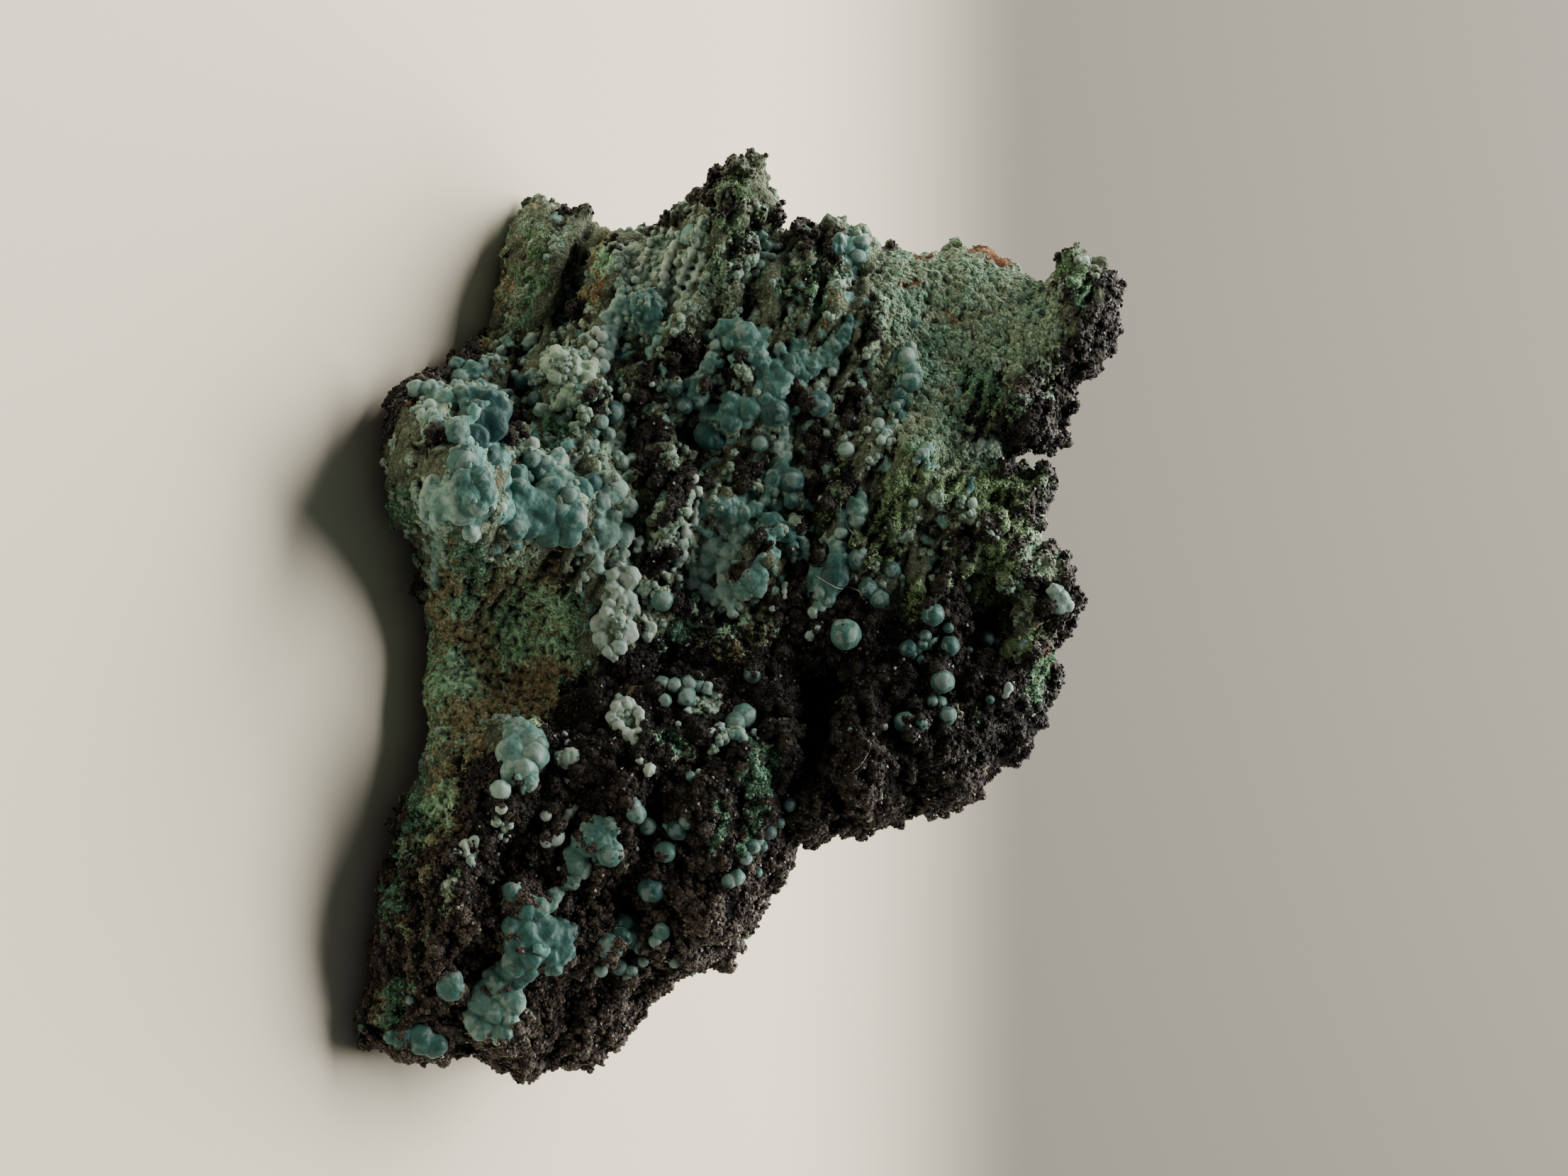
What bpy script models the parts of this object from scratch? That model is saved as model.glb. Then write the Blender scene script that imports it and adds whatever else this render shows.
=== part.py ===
"""Rosasite and plattnerite on gossan: one free-standing piece of rock, about 97 mm long.

The crystal face leans back and looks forwards and up. Everything on it is placed in face
coordinates, in millimetres:
    across   to the right along the face
    up       up the face, from the level of its lowest tip
    out      out of the face, towards someone looking squarely at it
The rock is a pillow between a front and a back that meet along a craggy rim. The crystals
are fused to it, and its underside is cut flat where it stands.
"""

import math

import bmesh
import bpy
from mathutils import Matrix, Vector, noise

MM = 0.001

# ---------------------------------------------------------------- driving dimensions (mm)
FACE_LEAN = math.radians(35)      # how far the face leans back from upright
EYE_DISTANCE = 461.0              # the rim is the rock's outline from this far away
AIM = (-3.0, 45.5)                # across and up of the point of the face that the eye is square to
FOOT_FORWARD = 26.3               # how far the face's lowest tip stands in front of the origin
BACK_PLANE = 57.0                 # how far behind that tip the broken back lies
FRONT_SHOULDER = 7.0              # width of the rounding from the rim to the front
BACK_SHOULDER = 15.0              # width of the rounding from the rim to the back
FRONT_BULGE = 7.0                 # how far the middle of the face stands out of its rim
FLANK_TAPER, FLANK_BITE = 0.03, 0.09  # narrowing and broken hollows behind the rim, as shares
FLANK_CENTRE, FLANK_LUMP = (-3.0, 42.0), 9.0
UNDERSIDE_STOCK = 4.0             # left under the floor line, for the flat cut to take off

BLANK_VOXEL = 1.0                 # spacing of the blank's points
BLANK_FRONT, BLANK_BACK = 6, 24   # points from the rim to the front, and to the back
FUSE_VOXEL = 0.55                 # what is smaller than this melts into its neighbours
BACK_SHARE = 0.03                 # share of the back's and flanks' triangles kept in the first thinning
TRIANGLE_SHARE = 0.116            # share of all that is left kept in the second

# ---------------------------------------------------------------- the rim (across, up, out)
RIM = [
    # underside of the face, from the right tip leftwards
    (45.3, 0.8, 0), (44.0, 0.1, 0), (42.0, 0.2, 0), (40.0, 1.7, -1), (35.0, 2.2, -1),
    (31.5, 3.6, -1), (28.5, 3.0, -1), (26.0, 4.0, -2), (22.0, 4.5, -2), (19.0, 5.5, -3),
    (15.8, 7.8, -3), (13.5, 7.6, -4), (10.5, 8.2, -5), (8.5, 7.1, -5), (5.0, 7.7, -5),
    (1.0, 8.4, -5), (-0.5, 7.6, -5), (-5.0, 7.1, -5), (-8.2, 7.0, -4), (-8.6, 5.0, -3),
    # the foot that overhangs at the lower left
    (-11.0, 3.8, -2), (-16.0, 3.2, 0), (-20.0, 4.1, -1), (-23.0, 4.1, -2), (-24.7, 6.3, -3),
    (-24.3, 8.6, -4), (-23.8, 10.2, -6), (-26.0, 10.2, -9), (-26.9, 12.2, -12),
    (-29.6, 13.6, -15), (-29.9, 15.0, -17),
    # lower left slab
    (-33.0, 14.9, -18), (-38.0, 15.6, -19), (-41.0, 16.4, -20), (-43.2, 17.6, -21),
    (-44.3, 20.0, -20), (-42.4, 22.4, -19), (-42.2, 24.3, -18), (-41.0, 26.0, -17),
    (-40.7, 29.0, -15), (-40.3, 31.9, -14), (-43.3, 34.1, -12), (-42.8, 35.3, -11),
    # the spike and the hooked sprig above it
    (-44.9, 37.8, -10), (-46.8, 39.2, -9), (-48.4, 41.3, -8), (-46.6, 42.9, -9),
    (-44.0, 42.4, -10), (-43.5, 43.3, -10), (-44.7, 43.9, -10), (-43.6, 44.6, -10),
    (-41.9, 43.7, -11), (-40.7, 42.9, -12), (-39.6, 44.0, -12),
    # the left side above it, as far as the lobe
    (-40.5, 45.5, -12), (-40.7, 47.3, -12), (-41.4, 48.8, -12), (-40.5, 50.6, -12),
    (-41.8, 53.9, -12), (-41.3, 54.6, -12), (-38.4, 55.1, -13), (-38.8, 57.6, -14),
    (-38.0, 59.5, -14), (-38.9, 63.5, -15), (-39.0, 66.2, -15), (-37.9, 69.3, -15),
    (-35.3, 72.0, -14), (-34.9, 73.6, -13), (-37.9, 75.0, -12), (-39.1, 76.9, -11),
    (-38.6, 77.7, -11), (-36.3, 78.4, -11), (-36.1, 80.1, -11), (-33.6, 81.5, -11),
    (-32.2, 80.5, -11), (-29.0, 80.3, -11), (-26.4, 78.2, -11), (-25.2, 76.3, -11),
    (-23.0, 75.4, -11), (-21.4, 75.5, -11), (-18.7, 74.9, -11), (-18.0, 72.6, -11),
    (-17.8, 70.1, -11),
    # the notch and the crest of the upper middle
    (-16.9, 68.9, -11), (-15.1, 70.6, -11), (-15.1, 73.4, -10), (-14.5, 74.0, -10),
    (-12.0, 72.5, -11), (-9.3, 72.0, -11), (-6.6, 73.4, -11), (-6.0, 75.4, -11),
    (-3.8, 75.5, -11), (-1.3, 76.2, -11), (0.3, 75.1, -11), (2.3, 73.2, -11),
    (4.8, 74.0, -11), (5.6, 74.9, -11), (9.1, 73.2, -11), (11.8, 71.0, -11),
    # the knobbly right flank
    (13.8, 70.3, -11), (15.1, 68.4, -11), (17.8, 67.0, -10), (19.8, 64.1, -10),
    (20.2, 63.0, -10), (19.1, 60.9, -10), (20.9, 59.6, -9), (20.5, 57.2, -9),
    (21.9, 55.6, -8), (22.1, 52.6, -8), (21.3, 50.8, -8), (22.5, 49.6, -7),
    (21.1, 47.4, -7), (23.5, 46.0, -7), (25.8, 45.4, -7), (27.6, 45.0, -7),
    (28.0, 43.9, -7), (30.5, 43.2, -8), (32.6, 42.0, -8), (34.0, 40.6, -8),
    (36.2, 38.8, -8), (36.6, 35.6, -8), (37.7, 33.2, -8), (40.3, 30.9, -8),
    (42.4, 29.1, -8), (44.6, 28.3, -8), (47.2, 25.3, -8), (47.0, 22.6, -7),
    (47.2, 19.8, -7), (48.4, 17.3, -6), (46.5, 15.3, -5), (45.4, 13.3, -4),
    (45.8, 10.6, -3), (46.9, 8.0, -2), (45.9, 5.4, -1), (45.2, 3.3, 0),
]

# ---------------------------------------------------------------- relief of the face
# (across, up, half length, half width, turn in degrees, height): swells and hollows
RELIEF = [
    (-16, 10, 11, 6, 10, 9.0),        # the lower left foot
    (-13, 13, 7, 4, 5, 2.5),
    (-22, 13, 4, 3, -30, 2.0),
    (-13, 22, 8, 7, 0, 3.5),          # pale mound over the foot
    (-26, 23, 5, 4, 0, 4.0),
    (-35, 23.3, 7, 1.3, -14, -6.0),   # the crevice over the lower left slab
    (-29.5, 20, 2.2, 4, 15, -3.0),
    (-35, 26.5, 7, 1.8, -6, 2.5),
    (-22, 17, 3, 2.4, 0, -5.0),       # the dark pocket above the foot
    (4, 16, 10, 8, 0, -4.5),          # the broken hollow in the lower middle
    (-6, 17, 2, 3, 30, 1.5),
    (15, 18.5, 5, 4, 0, 3.0),
    (23, 14, 9, 4, -12, 4.0),         # the ledge over the right foot
    (20, 29, 8, 8, 0, 3.0),
    (33, 22, 9, 7, -30, 2.5),
    (32, 17.5, 6, 1.3, -14, 2.0),
    (33, 12, 5, 3, 0, 3.0),
    (40.5, 22, 3.5, 3, 0, -3.0),      # the dark pocket at the right
    (37, 14.2, 3, 2, -20, -2.5),
    (41, 5.5, 3, 1.6, -20, -1.5),
    (24, 5.6, 10, 2.2, -6, -2.0),     # the undercut below that ledge
    (31, 28.5, 4, 2.2, -20, -3.0),
    (20, 40, 9, 5, -25, 3.0),
    (33, 36, 6, 4, -50, 2.0),
    (11, 49.5, 6.5, 3.2, -12, -5.5),  # the black cave under the right lobe
    (17, 52, 4, 4, 0, 1.5),
    (13, 57, 7, 7, 0, 2.0),
    (1.5, 66.8, 2.6, 2.6, 0, -5.5),   # the black hole in the green slope
    (-4.5, 65.5, 3.5, 4.5, -40, -2.5),
    (-11.5, 67.8, 1.3, 1.1, 0, -3.0),
    (-8, 69, 1.4, 5, -38, 1.8),
    (3, 72.5, 3, 2, 0, 1.5),
    (-13, 58, 8, 2.6, -22, 2.2),
    (-6, 62, 7, 2.2, -20, 1.8),
    (-30, 66, 8, 8, 0, -1.5),         # the smooth lobe
    (-35.5, 76.5, 3, 2.4, 0, 2.0),
    (-22, 72, 4, 3.5, 0, 1.5),
    (-18, 35.8, 2.6, 1.8, 0, -4.5),   # the dark pit in the middle
    (-12, 33.5, 6, 2.2, -4, 3.0),
    (-27, 32.5, 5, 2.2, -5, 2.0),
    (-6, 42, 3, 1.6, -30, 2.5),
    (-12, 52, 6, 2, -20, 2.0),
    (-24, 42, 5, 2.4, 10, 1.5),
    (6, 39, 6, 8, 0, -1.5),
    (-4, 38, 5, 3, -10, -1.5),
    (11.5, 34, 3.5, 5, 25, 3.0),
    (-46, 41, 4, 2, -35, 1.0),
]

# Fins on the left of the face: where, how far they reach, and their pitch, turn and height
FINS_CENTRE, FINS_REACH = (-36.0, 42.0), (9.0, 15.0)
FINS_PITCH, FINS_TURN, FINS_HEIGHT = 3.1, math.radians(-24), 1.5

# Rough broken rock: (size of the lumps, height, how much of it the back gets)
ROUGHNESS = [(11.0, 1.5, 2.4), (4.5, 0.9, 1.2), (2.0, 0.55, 0.5)]

# ---------------------------------------------------------------- crystals fused to the rock
# Rosasite balls and lobes (across, up, radius); the widest ones stand a step away
BALLS = [
    (13.0, 18.0, 2.2), (14.3, 18.8, 1.8), (16.3, 17.6, 2.0), (18.3, 15.7, 1.25), (20.4, 15.7, 0.9),
    (22.9, 25.3, 2.1), (22.9, 26.8, 1.4), (25.3, 27.3, 1.4), (26.6, 23.8, 1.4), (28.4, 23.2, 0.8),
    (24.8, 33.0, 1.2), (22.2, 31.1, 1.05), (20.3, 30.0, 1.2), (30.8, 18.6, 1.7), (30.0, 17.6, 1.4),
    (35.0, 26.8, 1.7), (37.3, 28.0, 0.95), (33.8, 32.2, 1.0), (36.5, 29.9, 1.0), (33.9, 29.0, 1.4),
    (34.5, 20.0, 2.0), (36.4, 21.0, 1.4), (33.8, 18.0, 1.5), (36.4, 18.3, 1.3), (38.7, 16.9, 1.4),
    (40.6, 15.6, 1.8), (42.2, 14.2, 1.8), (43.0, 16.0, 1.6), (44.5, 14.6, 1.0), (41.6, 17.4, 1.3),
    (45.0, 8.3, 1.6), (44.8, 6.4, 1.6), (39.0, 10.1, 1.5), (23.0, 20.9, 1.5), (28.6, 31.6, 1.5),
    (22.6, 44.0, 1.2), (21.6, 44.9, 0.9), (24.5, 42.6, 1.2), (27.8, 40.3, 1.1), (19.8, 46.2, 1.0),
    (10.7, 40.8, 1.5), (6.2, 42.2, 1.1), (8.7, 35.2, 1.2), (7.3, 34.6, 1.1), (7.6, 36.6, 1.1),
    (1.9, 52.0, 1.75), (-0.2, 61.3, 1.3), (3.1, 63.1, 1.15), (6.9, 62.3, 1.5), (10.4, 62.8, 1.05),
    (11.3, 58.2, 1.25), (2.5, 67.0, 0.95), (3.1, 70.8, 0.75), (3.5, 59.0, 1.2), (-1.6, 74.5, 1.6),
    (-6.0, 53.2, 1.2), (-3.0, 54.6, 1.2), (-4.5, 50.8, 1.8), (-2.8, 49.9, 1.3), (-1.8, 32.6, 1.4),
    (-3.6, 41.8, 1.7), (-8.7, 45.9, 1.2), (-9.6, 44.2, 1.1), (-12.4, 38.4, 1.4), (-11.0, 39.6, 1.2),
    (-14.0, 46.0, 1.6), (-12.8, 27.4, 2.2), (-12.4, 22.4, 2.3), (-17.0, 19.0, 1.3), (-11.4, 15.6, 0.8),
    (-16.2, 11.7, 2.1), (-12.5, 12.4, 2.6), (-10.0, 11.2, 2.4), (-19.5, 10.6, 1.7), (-21.5, 13.6, 2.4),
    (-23.0, 8.6, 2.0), (-25.6, 11.6, 1.6), (-21.6, 27.2, 1.5), (-22.3, 35.0, 1.15), (-24.4, 36.4, 1.4),
    (-22.8, 49.0, 1.6), (-26.6, 48.2, 1.4), (-21.2, 40.2, 1.6), (-21.6, 45.0, 1.3), (-29.6, 41.2, 1.5),
    (-32.5, 30.6, 2.2), (-17.8, 52.0, 0.9), (0.6, 28.0, 2.0), (2.2, 27.0, 1.6), (10.6, 28.4, 2.0),
    (-26.2, 22.0, 2.2), (-23.2, 24.4, 2.0), (-19.6, 37.6, 1.5), (-39.0, 53.8, 1.3), (-25.8, 58.8, 1.6),
]
BALL_SINK = 0.0                   # share of its radius that a ball's middle sits below the rock
BALL_DETAIL = 2

# Plattnerite knobs along the rim: (first, last rim point, spacing, smallest, largest radius)
KNOB_RUNS = [(100, 150, 1.5, 0.55, 1.05), (66, 84, 1.8, 0.45, 0.8), (35, 60, 2.2, 0.35, 0.6)]
KNOB_SINK = 0.9                   # share of its radius that a knob's middle is inside the rim
KNOB_SEED = 11

COLOUR, ROUGH, METAL = (0.10, 0.12, 0.10, 1), 0.75, 0.0


# ---------------------------------------------------------------- face coordinates
def in_space(across, up, out):
    """The point in the part's frame, in metres, seen from the eye at this place of the face."""
    widen = 1 - out / EYE_DISTANCE
    across = AIM[0] + (across - AIM[0]) * widen
    up = AIM[1] + (up - AIM[1]) * widen
    back = up * math.sin(FACE_LEAN) - out * math.cos(FACE_LEAN)
    high = up * math.cos(FACE_LEAN) + out * math.sin(FACE_LEAN)
    return Vector((across, back - FOOT_FORWARD, high)) * MM


def rim_distance_and_depth(across, up):
    """How far inside the rim a place of the face is, and the depth of the rim round it."""
    here = Vector((across, up))
    nearest, total, weights = 1e9, 0.0, 0.0
    for (a0, u0, out0), (a1, u1, _) in zip(RIM, RIM[1:] + RIM[:1]):
        start, run = Vector((a0, u0)), Vector((a1 - a0, u1 - u0))
        along = max(0.0, min(1.0, (here - start).dot(run) / run.length_squared))
        nearest = min(nearest, (here - start - run * along).length)
        weight = run.length / ((here - start).length_squared + 0.3) ** 1.5
        total += weight * out0
        weights += weight
    return nearest, total / weights


def shoulder(distance, width):
    """0 at the rim, 1 from width inwards, with a quarter-round between."""
    return math.sqrt(1 - (1 - min(distance / width, 1.0)) ** 2)


def oval(across, up, centre_across, centre_up, half_length, half_width, turn_deg):
    """1 in the middle of an oval patch, falling smoothly to 0 outside it."""
    turn = math.radians(turn_deg)
    a, u = across - centre_across, up - centre_up
    along = (a * math.cos(turn) + u * math.sin(turn)) / half_length
    aside = (u * math.cos(turn) - a * math.sin(turn)) / half_width
    return math.exp(-(along * along + aside * aside) ** 1.5)


def fins(across, up):
    reach = math.hypot((across - FINS_CENTRE[0]) / FINS_REACH[0], (up - FINS_CENTRE[1]) / FINS_REACH[1])
    aside = up * math.cos(FINS_TURN) - across * math.sin(FINS_TURN)
    sway = noise.noise(Vector((across, up, 0)) / 7) * 2.5
    return FINS_HEIGHT * math.exp(-reach ** 4) * math.sin((aside + sway) * math.tau / FINS_PITCH)


def roughness(across, up, out, on_back):
    """Height of the broken rock's lumps here."""
    height = 0.0
    for size, front_height, back_height in ROUGHNESS:
        share = front_height + (back_height - front_height) * on_back
        height += share * noise.noise(Vector((across, up, out)) / size + Vector((size, 0, 0)))
    return height


def front(across, up):
    """How far out of the face's plane the front of the rock is."""
    inside, rim_out = rim_distance_and_depth(across, up)
    round_off = shoulder(inside, FRONT_SHOULDER)
    height = FRONT_BULGE
    for a, u, length, width, turn, rise in RELIEF:
        height += rise * oval(across, up, a, u, length, width, turn)
    height += fins(across, up)
    return rim_out + round_off * (height + roughness(across, up, 0, 0.0))


def back(across, up):
    """How far out of the face's plane the back of the rock is."""
    inside, rim_out = rim_distance_and_depth(across, up)
    farthest = (up * math.sin(FACE_LEAN) - BACK_PLANE) / math.cos(FACE_LEAN)
    farthest += roughness(across, up, 40, 1.0)
    return rim_out - shoulder(inside, BACK_SHOULDER) * max(rim_out - farthest, 2.0)


# ---------------------------------------------------------------- meshes
def new_object(name, mesh):
    made = bpy.data.objects.new(name, mesh)
    bpy.context.scene.collection.objects.link(made)
    return made


def evaluated_mesh(made):
    """The object's mesh with its modifiers applied; the object itself is removed."""
    graph = bpy.context.evaluated_depsgraph_get()
    mesh = bpy.data.meshes.new_from_object(made.evaluated_get(graph))
    bpy.data.objects.remove(made)
    return mesh


def add_voxel_remesh(made, voxel):
    remesh = made.modifiers.new("fuse", "REMESH")
    remesh.mode = "VOXEL"
    remesh.voxel_size = voxel


def blank():
    """A slab with the rim's outline and even points: the rim at 0, the front above, the back below."""
    shape = bmesh.new()
    floor = shape.faces.new([shape.verts.new((a, u, -BLANK_BACK)) for a, u, _ in RIM])
    raised = bmesh.ops.extrude_face_region(shape, geom=[floor])["geom"]
    top = [g for g in raised if isinstance(g, bmesh.types.BMVert)]
    bmesh.ops.translate(shape, verts=top, vec=(0, 0, BLANK_BACK + BLANK_FRONT))
    bmesh.ops.recalc_face_normals(shape, faces=shape.faces)
    mesh = bpy.data.meshes.new("blank")
    shape.to_mesh(mesh)
    shape.free()
    slab = new_object("blank", mesh)
    add_voxel_remesh(slab, BLANK_VOXEL)
    return evaluated_mesh(slab)


def broken_flank(across, up, out, depth):
    """Draws a point behind the rim in towards the middle: a taper, with hollows bitten out of it."""
    fade = min(depth / 7.0, 1.0) ** 2
    bite = 0.5 + noise.noise(Vector((across, up, out)) / FLANK_LUMP)
    keep = 1 - fade * (FLANK_TAPER + FLANK_BITE * max(bite, 0.0))
    return (FLANK_CENTRE[0] + (across - FLANK_CENTRE[0]) * keep,
            FLANK_CENTRE[1] + (up - FLANK_CENTRE[1]) * keep)


def mould(mesh):
    """Moves the slab's points onto the rock's front, back and flanks."""
    for vertex in mesh.vertices:
        across, up, level = vertex.co
        _, rim_out = rim_distance_and_depth(across, up)
        if level > 0:
            out = rim_out + (front(across, up) - rim_out) * level / BLANK_FRONT
        else:
            depth = (rim_out - back(across, up)) * -level / BLANK_BACK
            out = rim_out - depth
            across, up = broken_flank(across, up, out, depth)
        place = in_space(across, up, out)
        place.z = max(place.z, -UNDERSIDE_STOCK * MM)
        vertex.co = place


def add_ball(shape, across, up, radius, out=None):
    """One ball, its middle a little below the rock's front."""
    if out is None:
        out = front(across, up) - BALL_SINK * radius
    place = Matrix.Translation(in_space(across, up, out))
    bmesh.ops.create_icosphere(shape, subdivisions=BALL_DETAIL, radius=radius * MM, matrix=place)


def add_rim_knobs(shape):
    """Knobs of plattnerite, side by side just inside parts of the rim."""
    noise.seed_set(KNOB_SEED)
    for first, last, spacing, smallest, largest in KNOB_RUNS:
        run = RIM[first:last]
        for (a0, u0, out0), (a1, u1, out1) in zip(run, run[1:]):
            step = Vector((a1 - a0, u1 - u0))
            inwards = Vector((step.y, -step.x)).normalized()
            count = max(1, round(step.length / spacing))
            for number in range(count):
                share = (number + noise.random()) / count
                radius = smallest + (largest - smallest) * noise.random()
                place = Vector((a0, u0)) + step * share + inwards * radius * KNOB_SINK
                out = out0 + (out1 - out0) * share + (noise.random() - 0.3) * 2
                add_ball(shape, place.x, place.y, radius, out)


def floor_block():
    """The cutter that leaves the underside flat at z = 0."""
    shape = bmesh.new()
    place = Matrix.Translation((0, 0, -10 * MM)) @ Matrix.Diagonal((200 * MM, 200 * MM, 20 * MM, 1))
    bmesh.ops.create_cube(shape, size=1, matrix=place)
    mesh = bpy.data.meshes.new("floor_block")
    shape.to_mesh(mesh)
    shape.free()
    block = new_object("floor_block", mesh)
    block.hide_render = True
    block.display_type = "WIRE"
    return block


def material():
    made = bpy.data.materials.new("mixed_lead_copper_ore")
    made.use_nodes = True
    shader = made.node_tree.nodes["Principled BSDF"]
    shader.inputs["Base Color"].default_value = COLOUR
    shader.inputs["Roughness"].default_value = ROUGH
    shader.inputs["Metallic"].default_value = METAL
    return made


def fused_skin():
    """The rock with its crystals as one closed skin of even points."""
    rock = blank()
    mould(rock)
    shape = bmesh.new()
    shape.from_mesh(rock)
    for across, up, radius in BALLS:
        add_ball(shape, across, up, radius)
    add_rim_knobs(shape)
    mesh = bpy.data.meshes.new("skin")
    shape.to_mesh(mesh)
    shape.free()
    skin = new_object("skin", mesh)
    add_voxel_remesh(skin, FUSE_VOXEL * MM)
    return evaluated_mesh(skin)


def specimen():
    """The fused rock, thinned most where it is plain, and cut flat underneath."""
    made = new_object("specimen", fused_skin())
    made.data.name = "specimen"
    outwards = Vector((0, -math.cos(FACE_LEAN), math.sin(FACE_LEAN)))
    plain = made.vertex_groups.new(name="back_and_flanks")
    points = made.data.vertices
    behind = [v.index for v in points if v.normal.dot(outwards) < 0.05]
    plain.add(behind, 1.0, "REPLACE")
    thin_back = made.modifiers.new("thin_back", "DECIMATE")
    thin_back.ratio = 1 - (1 - BACK_SHARE) * len(behind) / len(points)
    thin_back.vertex_group = plain.name
    thin_back.vertex_group_factor = 10.0
    made.modifiers.new("thin_all", "DECIMATE").ratio = TRIANGLE_SHARE
    cut = made.modifiers.new("stand_flat", "BOOLEAN")
    cut.operation = "DIFFERENCE"
    cut.object = floor_block()
    made.data.materials.append(material())
    return made


def main():
    for old in list(bpy.data.objects):
        bpy.data.objects.remove(old)
    specimen()


main()
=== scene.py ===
"""Rosasite and plattnerite on gossan: a hand-sized mineral specimen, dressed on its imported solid."""

import math
import random

import bmesh
import bpy
import numpy as np
from mathutils import Matrix, Vector, noise
from mathutils.bvhtree import BVHTree
from mathutils.kdtree import KDTree


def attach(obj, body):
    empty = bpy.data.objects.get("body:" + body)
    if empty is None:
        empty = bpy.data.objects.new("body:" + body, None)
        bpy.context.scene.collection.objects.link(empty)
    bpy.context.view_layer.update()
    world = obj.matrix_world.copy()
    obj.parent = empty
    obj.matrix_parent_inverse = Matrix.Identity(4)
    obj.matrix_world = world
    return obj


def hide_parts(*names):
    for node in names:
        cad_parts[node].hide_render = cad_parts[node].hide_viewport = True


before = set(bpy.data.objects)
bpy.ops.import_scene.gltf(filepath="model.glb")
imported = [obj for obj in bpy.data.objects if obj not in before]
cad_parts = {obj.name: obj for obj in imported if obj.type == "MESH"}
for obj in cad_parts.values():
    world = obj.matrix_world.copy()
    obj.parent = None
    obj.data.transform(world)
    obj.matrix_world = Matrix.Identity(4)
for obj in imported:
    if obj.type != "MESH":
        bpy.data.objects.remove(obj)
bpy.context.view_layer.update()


# ------------------------------------------------------------------------------------
# The camera and the face's own coordinates. The crystal face leans back from upright.
# Things on it are placed in millimetres: across to the right, up the face from its
# lowest tip, and out towards someone looking squarely at it, as the solid was drawn.
MM = 0.001
FACE_LEAN = math.radians(35)
EYE_DISTANCE = 461.0
AIM_ACROSS, AIM_UP = -3.0, 45.5
FOOT_FORWARD = 26.3               # how far the face's lowest tip is in front of the middle
OUTWARDS = Vector((0, -math.cos(FACE_LEAN), math.sin(FACE_LEAN)))


def in_space(across, up, out):
    """The point in metres that the eye sees at this place of the face, at this depth."""
    widen = 1 - out / EYE_DISTANCE
    across = AIM_ACROSS + (across - AIM_ACROSS) * widen
    up = AIM_UP + (up - AIM_UP) * widen
    return Vector((across,
                   up * math.sin(FACE_LEAN) - out * math.cos(FACE_LEAN) - FOOT_FORWARD,
                   up * math.cos(FACE_LEAN) + out * math.sin(FACE_LEAN))) * MM


def on_face(points):
    """Across, up and out in millimetres for an array of points in metres."""
    x, y, z = (points / MM).T
    y = y + FOOT_FORWARD
    up = y * math.sin(FACE_LEAN) + z * math.cos(FACE_LEAN)
    out = z * math.sin(FACE_LEAN) - y * math.cos(FACE_LEAN)
    narrow = EYE_DISTANCE / (EYE_DISTANCE - out)
    return AIM_ACROSS + (x - AIM_ACROSS) * narrow, AIM_UP + (up - AIM_UP) * narrow, out


eye = in_space(AIM_ACROSS, AIM_UP, EYE_DISTANCE)
camera_data = bpy.data.cameras.new("camera")
camera_data.lens, camera_data.sensor_width = 100, 36
camera_data.clip_start = 0.01
camera = bpy.data.objects.new("camera", camera_data)
bpy.context.scene.collection.objects.link(camera)
# Turned a quarter about its axis: the specimen's up is to the right of the frame.
camera.matrix_world = Matrix((
    (0, -1, OUTWARDS.x, eye.x),
    (math.sin(FACE_LEAN), 0, OUTWARDS.y, eye.y),
    (math.cos(FACE_LEAN), 0, OUTWARDS.z, eye.z),
    (0, 0, 0, 1)))
bpy.context.scene.camera = camera


# ------------------------------------------------------------------------------------
# The rock: one lump of gossan, iron oxide soaked with copper, on which everything else
# grew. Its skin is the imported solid's with knobs fused on wherever plattnerite grew,
# then raised and cut by the relief of each mineral: fins, bark, films and grit.
BASE_GRAIN = 0.55 * MM            # spacing of the points of the plain skin under the knobs
ROCK_GRAIN = 0.32 * MM            # spacing once the knobs are fused on
ROCK_TRIANGLES = 196000
BACK_KEPT = 0.25                  # share of the skin kept on the back, flanks and base
STREAK_TURN = math.radians(-27)   # which way the fins and streaks of the left side run
FOOT_FADE = (0.001, 0.004)        # heights over which the ledges fade in above the base,
TOP_FADE = (0.057, 0.0615)        # and out again near the top
KNOBS_FROM = 1.2 * MM             # no knobs lower than this, so that the base stays flat
KNOB_SIZES = (0.42, 0.95)         # radius of the knobs, in millimetres
KNOB_SPACING = 0.80               # how far apart they are, as a share of two radii


def linear(hex_colour):
    """An sRGB hex value as linear RGBA."""
    channels = [int(hex_colour[i:i + 2], 16) / 255 for i in (1, 3, 5)]
    return (*[c / 12.92 if c <= 0.04045 else ((c + 0.055) / 1.055) ** 2.4 for c in channels], 1)


def feed(tree, node, inputs):
    """Gives inputs of a node a value, or a link from a socket or a node's first output."""
    for key, value in inputs.items():
        if isinstance(value, bpy.types.Node):
            value = value.outputs[0]
        if isinstance(value, bpy.types.NodeSocket):
            tree.links.new(value, node.inputs[key])
        else:
            node.inputs[key].default_value = value


def add_node(tree, kind, inputs=None, **settings):
    """Adds a node with its settings, and feeds its inputs."""
    made = tree.nodes.new(kind)
    for name, value in settings.items():
        setattr(made, name, value)
    feed(tree, made, inputs or {})
    return made


def new_material(name):
    """A material, its node tree, and the object coordinates that its patterns lie on."""
    made = bpy.data.materials.new(name)
    made.use_nodes = True
    return made, made.node_tree, add_node(made.node_tree, "ShaderNodeTexCoord").outputs["Object"]


def shaded(material, inputs):
    """Feeds a material's shader, and returns the material."""
    feed(material.node_tree, material.node_tree.nodes["Principled BSDF"], inputs)
    return material


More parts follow.
